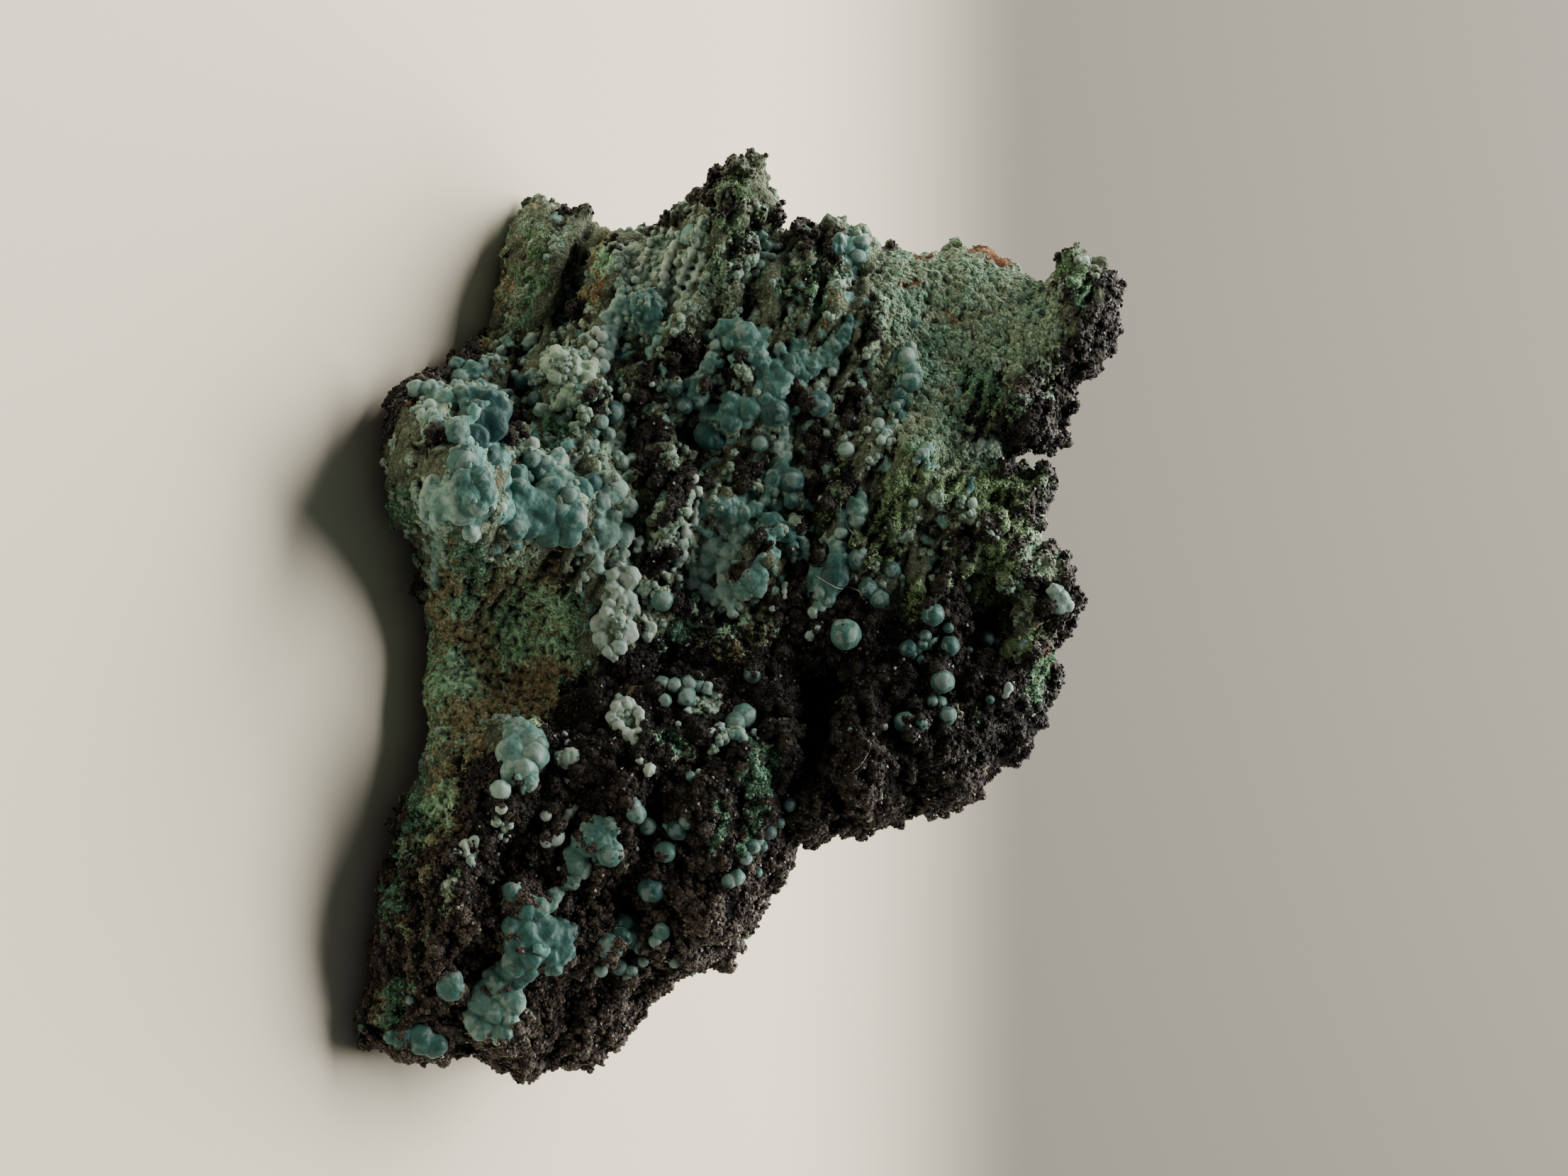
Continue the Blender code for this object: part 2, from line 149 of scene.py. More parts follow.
def new_piece(name, mesh):
    made = bpy.data.objects.new(name, mesh)
    bpy.context.scene.collection.objects.link(made)
    return made


def coat(piece, material):
    piece.data.materials.clear()
    piece.data.materials.append(material)


def finished(piece):
    """Applies a piece's modifiers, so that a plain mesh is left."""
    graph = bpy.context.evaluated_depsgraph_get()
    mesh = bpy.data.meshes.new_from_object(piece.evaluated_get(graph))
    piece.modifiers.clear()
    piece.data = mesh
    return piece


def fused(piece, grain, rounds):
    """Puts one closed skin round all the shapes in a piece, and softens it."""
    skin = piece.modifiers.new("skin", "REMESH")
    skin.mode, skin.voxel_size = "VOXEL", grain
    soften = piece.modifiers.new("soften", "SMOOTH")
    soften.factor, soften.iterations = 0.5, rounds
    return finished(piece)


def mesh_from(name, corners, faces):
    mesh = bpy.data.meshes.new(name)
    mesh.from_pydata(corners.tolist(), [], faces.tolist())
    return mesh


def points_of(mesh):
    places = np.empty(len(mesh.vertices) * 3, np.float32)
    mesh.vertices.foreach_get("co", places)
    return places.reshape(-1, 3).astype(float)


def normals_of(mesh):
    ways = np.empty(len(mesh.vertices) * 3, np.float32)
    mesh.vertex_normals.foreach_get("vector", ways)
    return ways.reshape(-1, 3).astype(float)


def move_points(mesh, places):
    mesh.vertices.foreach_set("co", places.astype(np.float32).ravel())
    mesh.update()


def facing_out(mesh):
    """How squarely each point of a mesh faces out of the crystal face, from -1 to 1."""
    return normals_of(mesh) @ np.array(OUTWARDS)


def store(mesh, name, values):
    """Keeps one number, or four, at each point of a mesh for its material to read."""
    values = np.asarray(values, np.float32)
    kind, key = ("FLOAT", "value") if values.ndim == 1 else ("FLOAT_COLOR", "color")
    mesh.attributes.new(name, kind, "POINT").data.foreach_set(key, values.ravel())


def standing_out(mesh, rounds):
    """How far each point stands above its surroundings, in millimetres; hollows are below 0."""
    ends = np.empty(len(mesh.edges) * 2, np.int64)
    mesh.edges.foreach_get("vertices", ends)
    first, second = ends.reshape(-1, 2).T
    places, count = points_of(mesh), len(mesh.vertices)
    neighbours = np.maximum(np.bincount(ends, minlength=count), 1)
    soft = places.copy()
    for _ in range(rounds):
        for axis in range(3):
            near = np.bincount(first, soft[second, axis], count)
            near += np.bincount(second, soft[first, axis], count)
            soft[:, axis] = 0.4 * soft[:, axis] + 0.6 * near / neighbours
    return ((places - soft) * normals_of(mesh)).sum(1) / MM


def soft_step(values, low, high):
    """0 below the low value, 1 above the high one, and a smooth rise between."""
    share = np.clip((values - low) / (high - low), 0, 1)
    return share * share * (3 - 2 * share)


def patches(across, up, listed):
    """The strongest of several soft oval patches, at each of many places of the face."""
    best = np.zeros(len(across))
    for a, u, half_length, half_width, turn, strength in listed:
        turn = math.radians(turn)
        da, du = across - a, up - u
        along = (da * math.cos(turn) + du * math.sin(turn)) / half_length
        aside = (du * math.cos(turn) - da * math.sin(turn)) / half_width
        best = np.maximum(best, strength * np.exp(-(along ** 2 + aside ** 2) ** 1.5))
    return best


# Where each mineral shows (across, up, half length, half width, turn, strength)
MALACHITE = [
    (-5, 67.2, 4.6, 3.2, -35, 1.1), (-12, 57.6, 8, 2.3, -22, 1), (-14.5, 63, 3.2, 2.4, 0, .9),
    (-13, 67.5, 3.4, 3.2, 0, .8), (-14, 71.6, 2.4, 3, 10, .58), (-1.2, 58.8, 3, 1.7, -20, .9),
    (3, 70.5, 3.2, 1.5, -35, .9), (6.2, 72.8, 3, 1.3, -25, .9), (-10.3, 50.3, 2.3, 1.1, -30, .9),
    (-16, 51.5, 3, 1.5, 0, .6), (13, 33.2, 1.5, 2.6, -20, .8), (16.5, 43, 4.5, 1.7, -12, .8),
    (23, 42.3, 4, 1.3, -25, .7), (21, 39.2, 5, 1.4, -20, .6), (-45.5, 40.8, 3.6, 1.8, -38, .66),
    (-42.5, 43, 2, 1.2, -30, .6), (-38.5, 38.5, 6, 2, -25, .55), (-24, 66.5, 4, 2.2, 15, 1),
    (-22, 70, 2.5, 1.5, 0, .6), (-35.6, 76.6, 4.2, 1.5, 12, .72), (-25, 21, 6, 2.4, 0, .5),
    (-19.5, 21, 2.2, 1.2, -15, .9), (2, 23.2, 6, 1.6, -5, .75), (-3.5, 13.5, 3.5, 2.6, -10, .8),
    (8, 13, 3, 1.5, -10, .56), (22, 6.6, 7, 2, -12, .6), (-12, 5.4, 4, 1.6, 0, .58),
    (-7, 12, 2.4, 3, 0, .6), (35, 7, 3, .6, -25, .62), (30, 4.6, 5, 1.5, -16, .6),
    (12, 8.5, 3, .6, -10, .52), (-36, 19.2, 7.5, 2.2, -8, .6), (41.5, 3.5, 4.5, 1.3, -40, .9),
    (-34.5, 49, 5, 3.2, -20, .6), (-24, 28.5, 4, 2, 0, .45), (1.5, 34.5, 1.7, 4.5, 10, .6),
    (-2, 36, 1.5, 1.5, 0, .7), (-9.5, 69.8, 2.4, 1.6, -20, .8), (11, 65.8, 1.5, 1.2, 0, .5),
    (-36, 46.5, 4, 2.5, -20, .5),
]
ALTERED = [
    (-32.5, 64.5, 6.5, 8.5, 15, 1.4), (-20.5, 61, 6.5, 3.6, 32, 1.2), (-29, 71.5, 4.5, 3, -40, 1.1),
    (-35, 58, 4.5, 3.2, 0, 1.1), (-28, 59.5, 5.5, 3.5, 0, .9), (-34, 73.6, 3, 1.2, 0, .6),
    (-8.3, 72.2, 2.8, 1.3, -15, .9), (-4.8, 73.4, 1.8, 1.6, 0, .8), (-6.8, 18, 1.5, 2.8, 30, .9),
    (-41, 18.2, 3, 1.4, -8, .54), (-33, 16.8, 4.5, 1.2, -8, .56), (-40, 21.4, 3.4, .9, 0, .52),
    (-26.5, 74, 3.5, 1.6, -20, .7), (-30, 56.5, 3, 2, 0, .6), (-17.3, 67, 1.8, 2.4, 0, .9),
    (-2, 71, 4, .6, 30, .8), (-36, 40.3, 7, 2.4, -24, .6), (-34, 37.6, 6, 1.4, -20, .7),
    (14.5, 35, 1.6, 2.4, 0, .6), (1, 44.6, 4, .8, -20, .6), (-35, 30.5, 5, 3, 0, .7),
    (24.5, 5.6, 3, .5, -12, .62), (28, 10.3, 2.6, .9, -30, .7), (31, 9, 2, .8, -30, .6),
    (-24.5, 55.3, 5, 1.8, -15, .6), (-37.5, 53.6, 3, 1.4, -20, .6),
]
GOSSAN = [
    (3, 17.5, 8.8, 6.3, 0, 1.25), (10, 12.4, 6.6, 2.8, -10, .85), (0, 9.8, 8, 2, 0, .9),
    (20, 8, 2.4, 1.2, -10, .7), (27, 7, 2, .9, -10, .66), (33, 5.2, 1.6, .8, -20, .66),
    (2.8, 40.5, 2.6, 5.5, 12, .62), (8, 8.9, 9, 1.5, -4, .85), (20, 9.2, 6, 1.8, -12, .8),
    (41, 2.8, 4, 1.6, -30, .66), (8, 29, 1.6, 1.4, 0, .6), (-37, 15.9, 6, .8, -6, .95),
    (-36, 25.8, 5, 1.3, -14, .8), (-28.8, 14.2, 1.6, 1.2, 0, .9), (1, 72.8, 1.3, 1, 0, .8),
    (-39.4, 66.5, 1.5, 5, 5, .66), (-35, 60.5, .6, 2.2, -30, .6), (-32.5, 64.5, .7, 2.6, -35, .56),
    (-20.5, 59.6, 1.2, 1, 0, .6), (-32.5, 50, 6, 1.2, -20, .5), (-27.5, 56, 4, 1.2, -20, .6),
]
PALE = [
    (-37, 33, 9, 5, -18, .4), (-26, 25, 8, 5, 0, .42), (-12, 37, 12, 8, -15, .36),
    (-31, 44, 9, 6, -20, .28), (-14, 48, 11, 5, -22, .3), (-3, 34, 8, 5, 0, .36),
    (2, 24.5, 9, 2.6, -5, .36), (-22, 36, 6, 8, 0, .36), (-15, 22, 6, 8, 0, .36),
    (-22, 55, 9, 2.5, -20, .34), (-10, 64, 6, 5, -20, .26), (-21, 9, 6, 5, 0, .34),
    (36.5, 34, 8, 2.5, -50, .3), (24, 13, 8, 3, -10, .3), (-38, 52, 4, 2, -20, .3),
    (-37, 35.6, 6.5, 1.6, -18, .74), (-39, 32.4, 5, 2.3, -27, .7), (-37.5, 29.4, 3.6, 2.4, 0, .7),
    (-33.5, 33.8, 3.4, 1.6, 0, .72), (-31, 27.4, 4.6, 1.5, -14, .8), (-5, 38.6, 5.5, 2.6, -12, .6),
    (-3, 28.4, 6, 1.5, -8, .95), (-25, 22.8, 5, 2.4, 0, .75), (-16.8, 27.6, 3, 2.2, 0, .7),
    (-12, 9.2, 4, 2.2, -10, .95), (-22.6, 9.4, 2.2, 3, 0, .9), (-5.5, 8.8, 3, 1, -8, .85),
    (11, 28.8, 2.8, 1.8, 20, .9), (-7.5, 35.6, 6, .8, -12, .7), (1.5, 31, 1.6, .6, -15, .8),
    (-37.6, 41.8, 4.5, .7, -26, .7), (-35.5, 51.6, 3, .8, -20, .6), (-19, 45.6, 2.4, .8, 0, .8),
    (9, 36.2, 2, 3, 0, .8), (12.6, 39.6, 1, 2.6, 15, .8), (15, 22.6, 1.2, 2.4, 0, .8),
    (-27.2, 20.9, 2.2, 1, 0, .9), (-18.2, 66.6, 1, 1.4, 0, .7), (-19.2, 56.4, 1.6, .9, 0, .7),
    (22, 15.4, 2.2, .8, -15, .7), (24.6, 11.9, 1.8, .7, 20, .8), (-18.5, 24, 4, 1.6, 0, .5),
]
TEAL = [
    (-22, 44, 12, 7, -20, .34), (-10, 44, 10, 7, -20, .34), (-26, 33, 8, 5, -15, .3),
    (-17, 20, 8, 8, 0, .34), (-14, 60, 8, 3, -25, .26), (-38, 50, 5, 5, -20, .28), (22, 30, 5, 6, 0, .3),
    (33, 20, 7, 5, -20, .34), (-28, 56, 6, 2, -20, .3), (4, 61, 4, 3, 0, .3),
    (-26, 45.2, 4.6, 2.6, -30, 1), (-29.8, 51.6, 3.4, .9, -38, 1), (-28.6, 41.5, 2.6, 3, 0, .85),
    (-20.5, 39.8, 3.5, 2.6, 0, .75), (-11.2, 41.2, 2.2, 4.2, 0, 1), (-13.4, 45.6, 3.6, 1.5, -30, .85),
    (-32, 30.8, 2.8, 1.7, 0, 1.2), (-20.5, 13.8, 4, 2.6, -10, 1.2), (-12.6, 12.9, 3.6, 2, 0, 1.2),
    (-12, 19.4, 4.2, 4.6, 0, 1.1), (34, 20.6, 3, 3, 0, .95), (24, 26, 2.8, 3, 0, .8),
    (33.4, 29, 2.6, 1.8, 0, .8), (-4.7, 50.5, 3.6, 1.4, -15, 1), (-38.9, 52.4, 1.6, 2, 0, .9),
    (-8.6, 45.2, 1.6, 2.2, 0, .9), (-4, 42.2, 2, 1.4, 0, .9), (-17, 14.6, 1.6, 1.2, 0, .8),
    (2.4, 60.6, 2.2, 1.6, -40, .7), (-24.3, 36.3, 2, 1, 0, .9), (-26, 58.6, 2.6, 1.2, 0, .9),
    (-17.2, 60.3, 2, .9, -30, .8), (-10.8, 53, 2, .8, 0, .8), (41.5, 14.6, 3.6, 2, -15, .8),
    (-25.8, 12.6, 1.4, 2.4, 30, .95), (14.8, 17.9, 4.2, 2.2, -5, .95), (22.6, 34, 1.4, 1.2, 0, .8),
    (-22, 57.8, 1.2, .9, 0, .8),
]
LIMONITE = [
    (-34.9, 26.4, 1.1, .6, -35, .9), (-33.2, 25.4, .9, .45, 0, .9), (-38.6, 25.3, 1.2, .5, -30, .9),
    (-22.5, 6.2, .7, .8, 0, 1.2), (-28.2, 14.2, .8, .5, 0, 1.1), (-14.1, 14.7, .5, .35, 0, 1.1),
    (-36.8, 21.4, .8, .6, 0, .75), (-37, 15.9, 3.4, .6, -8, .7), (-43.4, 19.5, .9, .35, -20, .8),
    (-38.2, 66.8, 1.1, 5.4, -10, .8), (-34.7, 63.2, .5, 2, -35, .85), (-32.2, 63.8, .45, 2.2, -35, .8),
    (-35.2, 58.8, .5, 1.6, -35, .85), (-37.6, 60.5, .4, 1.6, -20, .8), (3.3, 73.5, .9, .4, -15, .9),
    (32, 5.3, 1.8, .9, -20, .7), (25, 7.8, 1.2, .5, 0, .6), (7.6, 28.6, .9, .9, 0, .6),
    (-1.1, 7.9, 1, .35, 0, .9), (3, 40.5, 1.8, 4, 12, .54), (-18.4, 60.8, .6, 1, 0, .7),
    (1, 20, 4, 1.2, -8, .55),
]
# Where the ground is dark bark-like rock and not plattnerite, and the black crusts on it
BARK = [
    (-36, 44, 14, 12, -20, 1.3), (-20, 42, 16, 15, -20, 1.3), (-6, 38, 9, 13, -10, 1.2),
    (-28, 24, 15, 10, -10, 1.3), (-14, 14, 12, 12, 0, 1.2), (-12, 58, 11, 9, -20, 1.2),
    (-38, 18, 9, 6, 0, 1.2), (-33, 66, 10, 14, 10, 1.2), (-20, 60, 10, 7, 20, 1.2),
    (2, 14, 12, 8, -5, 1.2), (14, 8.5, 9, 2.6, -12, .9), (-5, 27, 12, 5, -10, 1), (-37, 77, 5, 3, 0, .9),
    (1, 70, 5, 2.5, -30, .7),
]
ISLANDS = [
    (-14, 50.6, 4, 2.1, -30, 1.1), (-11.2, 48, 2.4, 1, -30, 1), (-15, 42.2, 2.2, 1.8, 0, 1.1),
    (-6.4, 42.1, 3.2, .9, -45, 1.1), (-12.5, 34.4, 3.6, 1.7, -25, 1.2), (-5, 32.6, 4, 1.3, -18, 1),
    (-1.6, 34.8, 2.4, 1.3, 20, 1.1), (-4.2, 46.4, 5, 1.3, -25, 1.1), (-19, 49, 2.2, 1.4, -20, 1),
    (-40.6, 42.2, 2.6, .8, -28, 1.1), (-36.6, 40.1, 3, .8, -30, 1.1), (-45.6, 38.2, 3.4, .9, -48, 1.1),
    (-27.9, 34.2, 2.8, 2.1, -15, 1.2), (-26, 39.4, 2, 1.9, -20, 1.1), (-22, 46.6, 2.4, 1.1, -25, 1),
    (-31, 55, 4, 1.2, -20, .8), (-22, 52.6, 3, 1.2, -30, .9), (-24.5, 30.3, 3, 1.4, -10, 1.1),
    (-19.5, 31, 2.6, 1.5, -15, 1), (-15.6, 32, 2.2, 1.4, 0, .8), (-31.5, 24.2, 2.4, 1.2, -10, .9),
    (-22.8, 26, 1.6, 1.1, 0, .9), (-19.4, 17.3, 1.6, 2, 0, 1), (-28, 16.4, 1.4, 1.2, 0, .9),
    (-19.7, 8.2, 1.2, 1.8, 0, .9), (-17.6, 7.8, 1.6, 1.2, 0, .8), (-8, 56, 5, 1.4, -28, 1.1),
    (-1.5, 52.6, 2.4, 1.5, -30, 1), (-3.4, 62.5, 3.4, 1.4, -25, .9), (-8, 64, 2.6, 1.3, -20, .9),
    (-14.8, 73.6, 1.3, 1.6, 20, .8), (-21, 65.4, 2.6, 1.2, -15, .9), (-24, 73.4, 5, 2.6, -38, 1.2),
    (-19.5, 70.4, 2.5, 3.4, -20, 1.2), (-32, 79.6, 4.5, 1.6, -28, 1.2), (-28, 76.4, 4.5, 1.6, -32, 1.2),
    (0, 45.5, 5, 2.6, -25, 1.1), (3.5, 38, 3, 5, 8, 1.1), (5, 30, 2.6, 3, 0, 1.1),
    (-38.4, 27.2, 2, .8, -10, .7), (-42, 46, 2, 1.4, -30, .8), (-38.3, 75, 1.5, .8, 30, .9),
    (-35.8, 78.4, 2.2, .7, 10, .9), (-34.4, 75.6, 1.6, .7, -30, .9), (-37.8, 50.2, 4.2, 1.3, -16, .9),
    (-40.2, 47.8, 2.2, 1.3, 0, .9), (-34.6, 47.4, 3.2, 1.1, -20, .85), (-30.5, 55.2, 2.4, 1.1, -40, .9),
    (-47.6, 42, 2.4, .9, -40, 1), (-43.6, 40.2, 2.4, .7, -35, 1), (-49, 43.6, 2, 1, -40, .9),
    (-36.5, 56.6, 2.4, 1.2, -15, .7),
]
# Deep clefts between the ledges of plattnerite, and the lobes that it swells out into
CLEFTS = [
    (14, 57.6, 6, .8, 4, 1.3), (17.5, 60.3, 4, .7, -20, 1), (20, 51.2, 4, .5, -8, .8),
    (24, 58.6, 1.6, 1, 0, 1.2), (9, 66, 4, .6, -30, .9), (-17, 70.5, 1.3, 4, 0, 1.9),
    (18, 66.4, 3, .5, -35, .9), (30, 36.5, 4, .6, -45, .9), (38, 27.5, 4, .7, -40, 1),
    (44, 22, 3, .6, -30, 1), (43, 11, 3, .6, -20, 1), (19, 20, 4, .6, -15, .8),
    (30, 25.5, 3, .6, -30, .9), (27.5, 15.5, 4, .6, -20, .9), (36.5, 12.4, 3, .6, -30, .9),
]
SWELLS = [
    (19.5, 48.4, 4.5, 2.6, -10, 1), (15.5, 53.6, 6, 1.9, -4, .8), (21.5, 53.4, 3, 2, 0, .5),
    (12.5, 45.2, 4, 1.6, 0, .7), (34, 36, 4, 2, -40, .5), (24, 20.5, 3, 2, 0, .4), (17, 28, 3, 3, 0, .5),
]
NOTCH = [(-17, 70.5, 1.3, 4, 0, 1)]     # the narrow gap in the rim: no knobs stand in it
GREEN_RIDGE = [(-5, 67, 4.5, 3.2, -35, 1)]

# How far noise moves the edges of the patches, in wide bends and in fine tears, and the
# weights between which bark, other cover, black crusts and films fade in
EDGE_WANDER, EDGE_TEAR = 5.5 / 3.5, 0.25
BARK_EDGE, COVER_EDGE, CRUST_EDGE = (0.35, 0.6), (0.45, 0.62), (0.46, 0.60)
FILM_EDGE, LONE_FILM_EDGE = (0.42, 0.50), (0.6, 0.7)   # the second where there is no bark


def mineral_weights(a, u, far, wander, mottle, second, streak, open_face):
    """How much of each mineral there is at many places; the arguments are all arrays."""
    a = a + EDGE_WANDER * wander[0] + EDGE_TEAR * mottle
    u = u + EDGE_WANDER * wander[1] + EDGE_TEAR * second
    bark = soft_step(patches(a, u, BARK), *BARK_EDGE)
    malachite = patches(a, u, MALACHITE) + 0.08 * second
    altered = patches(a, u, ALTERED)
    gossan = patches(a, u, GOSSAN)
    limonite = patches(a, u, LIMONITE)
    strong = np.maximum.reduce([malachite, altered, gossan])
    covered = soft_step(strong, *COVER_EDGE)
    # black crusts stand along the streaks, and thin films lie between them
    islands = patches(a, u, ISLANDS) + 0.13 * streak + 0.12 * second
    loud = bark * (1 - 0.9 * covered)
    pale = np.maximum(patches(a, u, PALE), 0.15 * loud) + loud * (0.17 * mottle - 0.10 * streak)
    teal = np.maximum(patches(a, u, TEAL), 0.12 * loud) - loud * (0.17 * mottle + 0.08 * streak)
    island = soft_step(islands, *CRUST_EDGE)
    black = np.maximum(1 - bark, island)
    black *= 1 - covered * (1 - soft_step(islands - strong, 0, 0.2))
    films = np.maximum(pale, teal)
    film = soft_step(films, *FILM_EDGE) * (1 - island * soft_step(islands - films, -0.3, 0.0))
    film *= np.where(bark > 0.5, 1, soft_step(films, *LONE_FILM_EDGE))
    # Behind the rim the rock is broken: gossan, with plattnerite and green in patches.
    away = 1 - open_face
    black = black * (1 - film) * open_face + away * soft_step(-far - 0.6 * wander[1], 0.05, 0.3)
    gossan = gossan * open_face + away * 0.9
    malachite = malachite * open_face + away * soft_step(far + 0.6 * wander[0], 0.2, 0.5) * 0.62
    limonite = limonite * open_face + away * soft_step(wander[1], 0.1, 0.6) * 0.56
    film *= open_face
    return (black, malachite, altered * open_face, gossan, pale * film, teal * film, limonite, film)


# The noises that the skin is made from: (size in millimetres, shift) for the wide, middling
# and fine ones, the two that bend edges and the web, and (length, width, depth, shift) for
# the wide and fine streaks, which are drawn out along the fins
ROUND_NOISES = [(5.5, (0, 0, 0)), (1.25, (0, 0, 0)), (0.6, (0, 0, 0)),
                (2.6, (50, 0, 0)), (2.6, (0, 50, 0)), (1.7, (0, 0, 50))]
STREAK_NOISES = [(7, 1.5, 6, (0, 0, 0)), (2.6, 0.6, 4, (9, 9, 9))]
MOTTLE = 4.5                      # how much stronger the noise is that mottles the weights


def fields(places):
    """These noises at each place, in millimetres: one row for each noise."""
    table = np.empty((len(places), len(ROUND_NOISES) + len(STREAK_NOISES)))
    cos_turn, sin_turn = math.cos(STREAK_TURN), math.sin(STREAK_TURN)
    for row, (a, u, w) in enumerate(places):
        here = Vector((a, u, w))
        along, aside = a * cos_turn + u * sin_turn, u * cos_turn - a * sin_turn
        table[row] = [noise.noise(here / size + Vector(shift)) for size, shift in ROUND_NOISES] + [
            noise.noise(Vector((along / length, aside / width, w / depth)) + Vector(shift))
            for length, width, depth, shift in STREAK_NOISES]
    return table.T


def weights_at(mesh):
    """The noises, streaks, openness and mineral weights at each point of a skin."""
    across, up, out = on_face(points_of(mesh))
    noises = fields(np.column_stack((across, up, out)))
    wide, middling, _, bend_across, bend_up, web, streaks, fine_streaks = noises
    open_face = soft_step(facing_out(mesh), -0.2, 0.15) * soft_step(out, -36, -26)
    streak = np.clip(1.4 - 6.8 * np.abs(streaks) + 1.8 * fine_streaks, -2, 2)
    minerals = mineral_weights(across, up, wide, (bend_across, bend_up), MOTTLE * web,
                               MOTTLE * middling, streak, open_face)
    return noises, streak, open_face, minerals


def unit_ball(detail):
    shape = bmesh.new()
    bmesh.ops.create_icosphere(shape, subdivisions=detail, radius=1)
    corners = np.array([v.co for v in shape.verts])
    faces = np.array([[v.index for v in f.verts] for f in shape.faces])
    shape.free()
    return corners, faces


UNIT_BALLS = {detail: unit_ball(detail) for detail in (1, 2, 3, 4)}

plain_rock = new_piece("plain_rock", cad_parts["specimen"].data.copy())
weld = bmesh.new()
weld.from_mesh(plain_rock.data)
bmesh.ops.remove_doubles(weld, verts=weld.verts, dist=1e-6)
weld.to_mesh(plain_rock.data)
weld.free()
plain_rock = fused(plain_rock, BASE_GRAIN, 3)

# Where plattnerite covers the rock, it stands in ledges and lumps with deep clefts between.
LEDGE_HEIGHT, LUMP_HEIGHT, CLEFT_DEPTH, SWELL_HEIGHT, SUNK = 2.0, 1.3, 1.5, 2.4, 0.45
base_points = points_of(plain_rock.data)
black_here = weights_at(plain_rock.data)[3][0]
ledges = np.array([noise.noise(Vector((x / 5.5, y / 5.5, z / 2.6))) for x, y, z in base_points / MM])
lumps = np.array([noise.noise(Vector(place) / 3.4 + Vector((7, 7, 7))) for place in base_points / MM])
across, up, _ = on_face(base_points)
clefts = np.maximum(1 - soft_step(np.abs(ledges), 0.0, 0.13), patches(across, up, CLEFTS))
rise = LEDGE_HEIGHT * np.abs(ledges) + LUMP_HEIGHT * np.abs(lumps) - SUNK - CLEFT_DEPTH * clefts
rise += SWELL_HEIGHT * patches(across, up, SWELLS)
rise *= black_here * soft_step(base_points[:, 2], *FOOT_FADE)
rise *= 1 - soft_step(base_points[:, 2], *TOP_FADE)
base_points += normals_of(plain_rock.data) * (rise * MM)[:, None]
move_points(plain_rock.data, base_points)

# Knobs stand on it wherever plattnerite is, kept apart by their own size.
base_normals = normals_of(plain_rock.data)
notch = patches(across, up, NOTCH)
chance = random.Random(21)
order = [int(i) for i in np.flatnonzero(black_here > 0.45)]
chance.shuffle(order)
cell = 2 * KNOB_SIZES[1] * MM
taken, knobs = {}, []
for row in order:
    place = base_points[row]
    if place[2] < KNOBS_FROM or notch[row] > 0.3:
        continue
    radius = MM * (KNOB_SIZES[0] + (KNOB_SIZES[1] - KNOB_SIZES[0]) * chance.random() ** 1.6)
    key = tuple(int(v // cell) for v in place)
    near = [knob for dx in (-1, 0, 1) for dy in (-1, 0, 1) for dz in (-1, 0, 1)
            for knob in taken.get((key[0] + dx, key[1] + dy, key[2] + dz), ())]
    if any(np.dot(place - spot, place - spot) < (KNOB_SPACING * (radius + size)) ** 2
           for spot, size in near):
        continue
    taken.setdefault(key, []).append((place, radius))
    knobs.append((place + base_normals[row] * radius * (0.05 + 0.45 * chance.random()), radius))
unit, unit_faces = UNIT_BALLS[2]
knob_mesh = mesh_from("knobs", np.vstack([middle + unit * radius for middle, radius in knobs]),
                      np.vstack([unit_faces + number * len(unit) for number in range(len(knobs))]))
knobbly = bmesh.new()
knobbly.from_mesh(plain_rock.data)
knobbly.from_mesh(knob_mesh)
knobbly.to_mesh(plain_rock.data)
knobbly.free()
rock = fused(plain_rock, ROCK_GRAIN, 1)
rock.name = rock.data.name = "matrix_rock"

# The height of each mineral's own relief, in millimetres
WIDE_GRAIN, GRAIN, FINE_GRAIN = 0.28, 0.22, 0.16  # the grain of bare rock
FIN_HEIGHT, CRUST_HEIGHT = 0.50, 0.35             # fins and black crusts of the left side
FILM_HEIGHT, FILM_LUMPS = 0.30, 0.5
WEB_HEIGHT, GRIT_HEIGHT, RIDGE_HEIGHT = 0.30, 0.44, 1.4   # malachite, gossan, green ridge
RIPPLE_HEIGHT, RIPPLE_SPACING = 0.10, 1.35        # altered rock: ripples across its streaks,
SCALE_HEIGHT, PIT_DEPTH = 0.35, 0.25              # scales and pits
RELIEF_FADE = 1.5 * MM                            # the relief fades in above the flat base,
FRONT_END, BACK_END, TOP_END = -0.0326, 0.0332, 0.0628   # and stops here, in metres

points = points_of(rock.data)
noises, streak, open_face, minerals = weights_at(rock.data)
black, malachite, altered, gossan, pale, teal, limonite, film = minerals
wide, middling, fine, bend, _, web, _, _ = noises
across, up, _ = on_face(points)
left_side = soft_step(-across, -6, 4) * open_face
plain = soft_step(altered, 0.35, 0.6)
uncovered = 1 - 0.5 * film
height = WIDE_GRAIN * wide + GRAIN * middling * uncovered + FINE_GRAIN * fine * uncovered
height += FIN_HEIGHT * left_side * (0.5 * streak - 0.1) * uncovered * (1 - 0.85 * plain)
height += film * (FILM_HEIGHT + FILM_LUMPS * middling) + CRUST_HEIGHT * black * left_side
height += WEB_HEIGHT * soft_step(malachite, 0.4, 0.6) * np.clip(1 - 5 * np.abs(web), -1, 1)
height += GRIT_HEIGHT * soft_step(gossan, 0.4, 0.6) * fine
height += RIDGE_HEIGHT * open_face * patches(across, up, GREEN_RIDGE)
ripple = np.sin(((across - up) / RIPPLE_SPACING + 2.2 * bend) * math.pi)
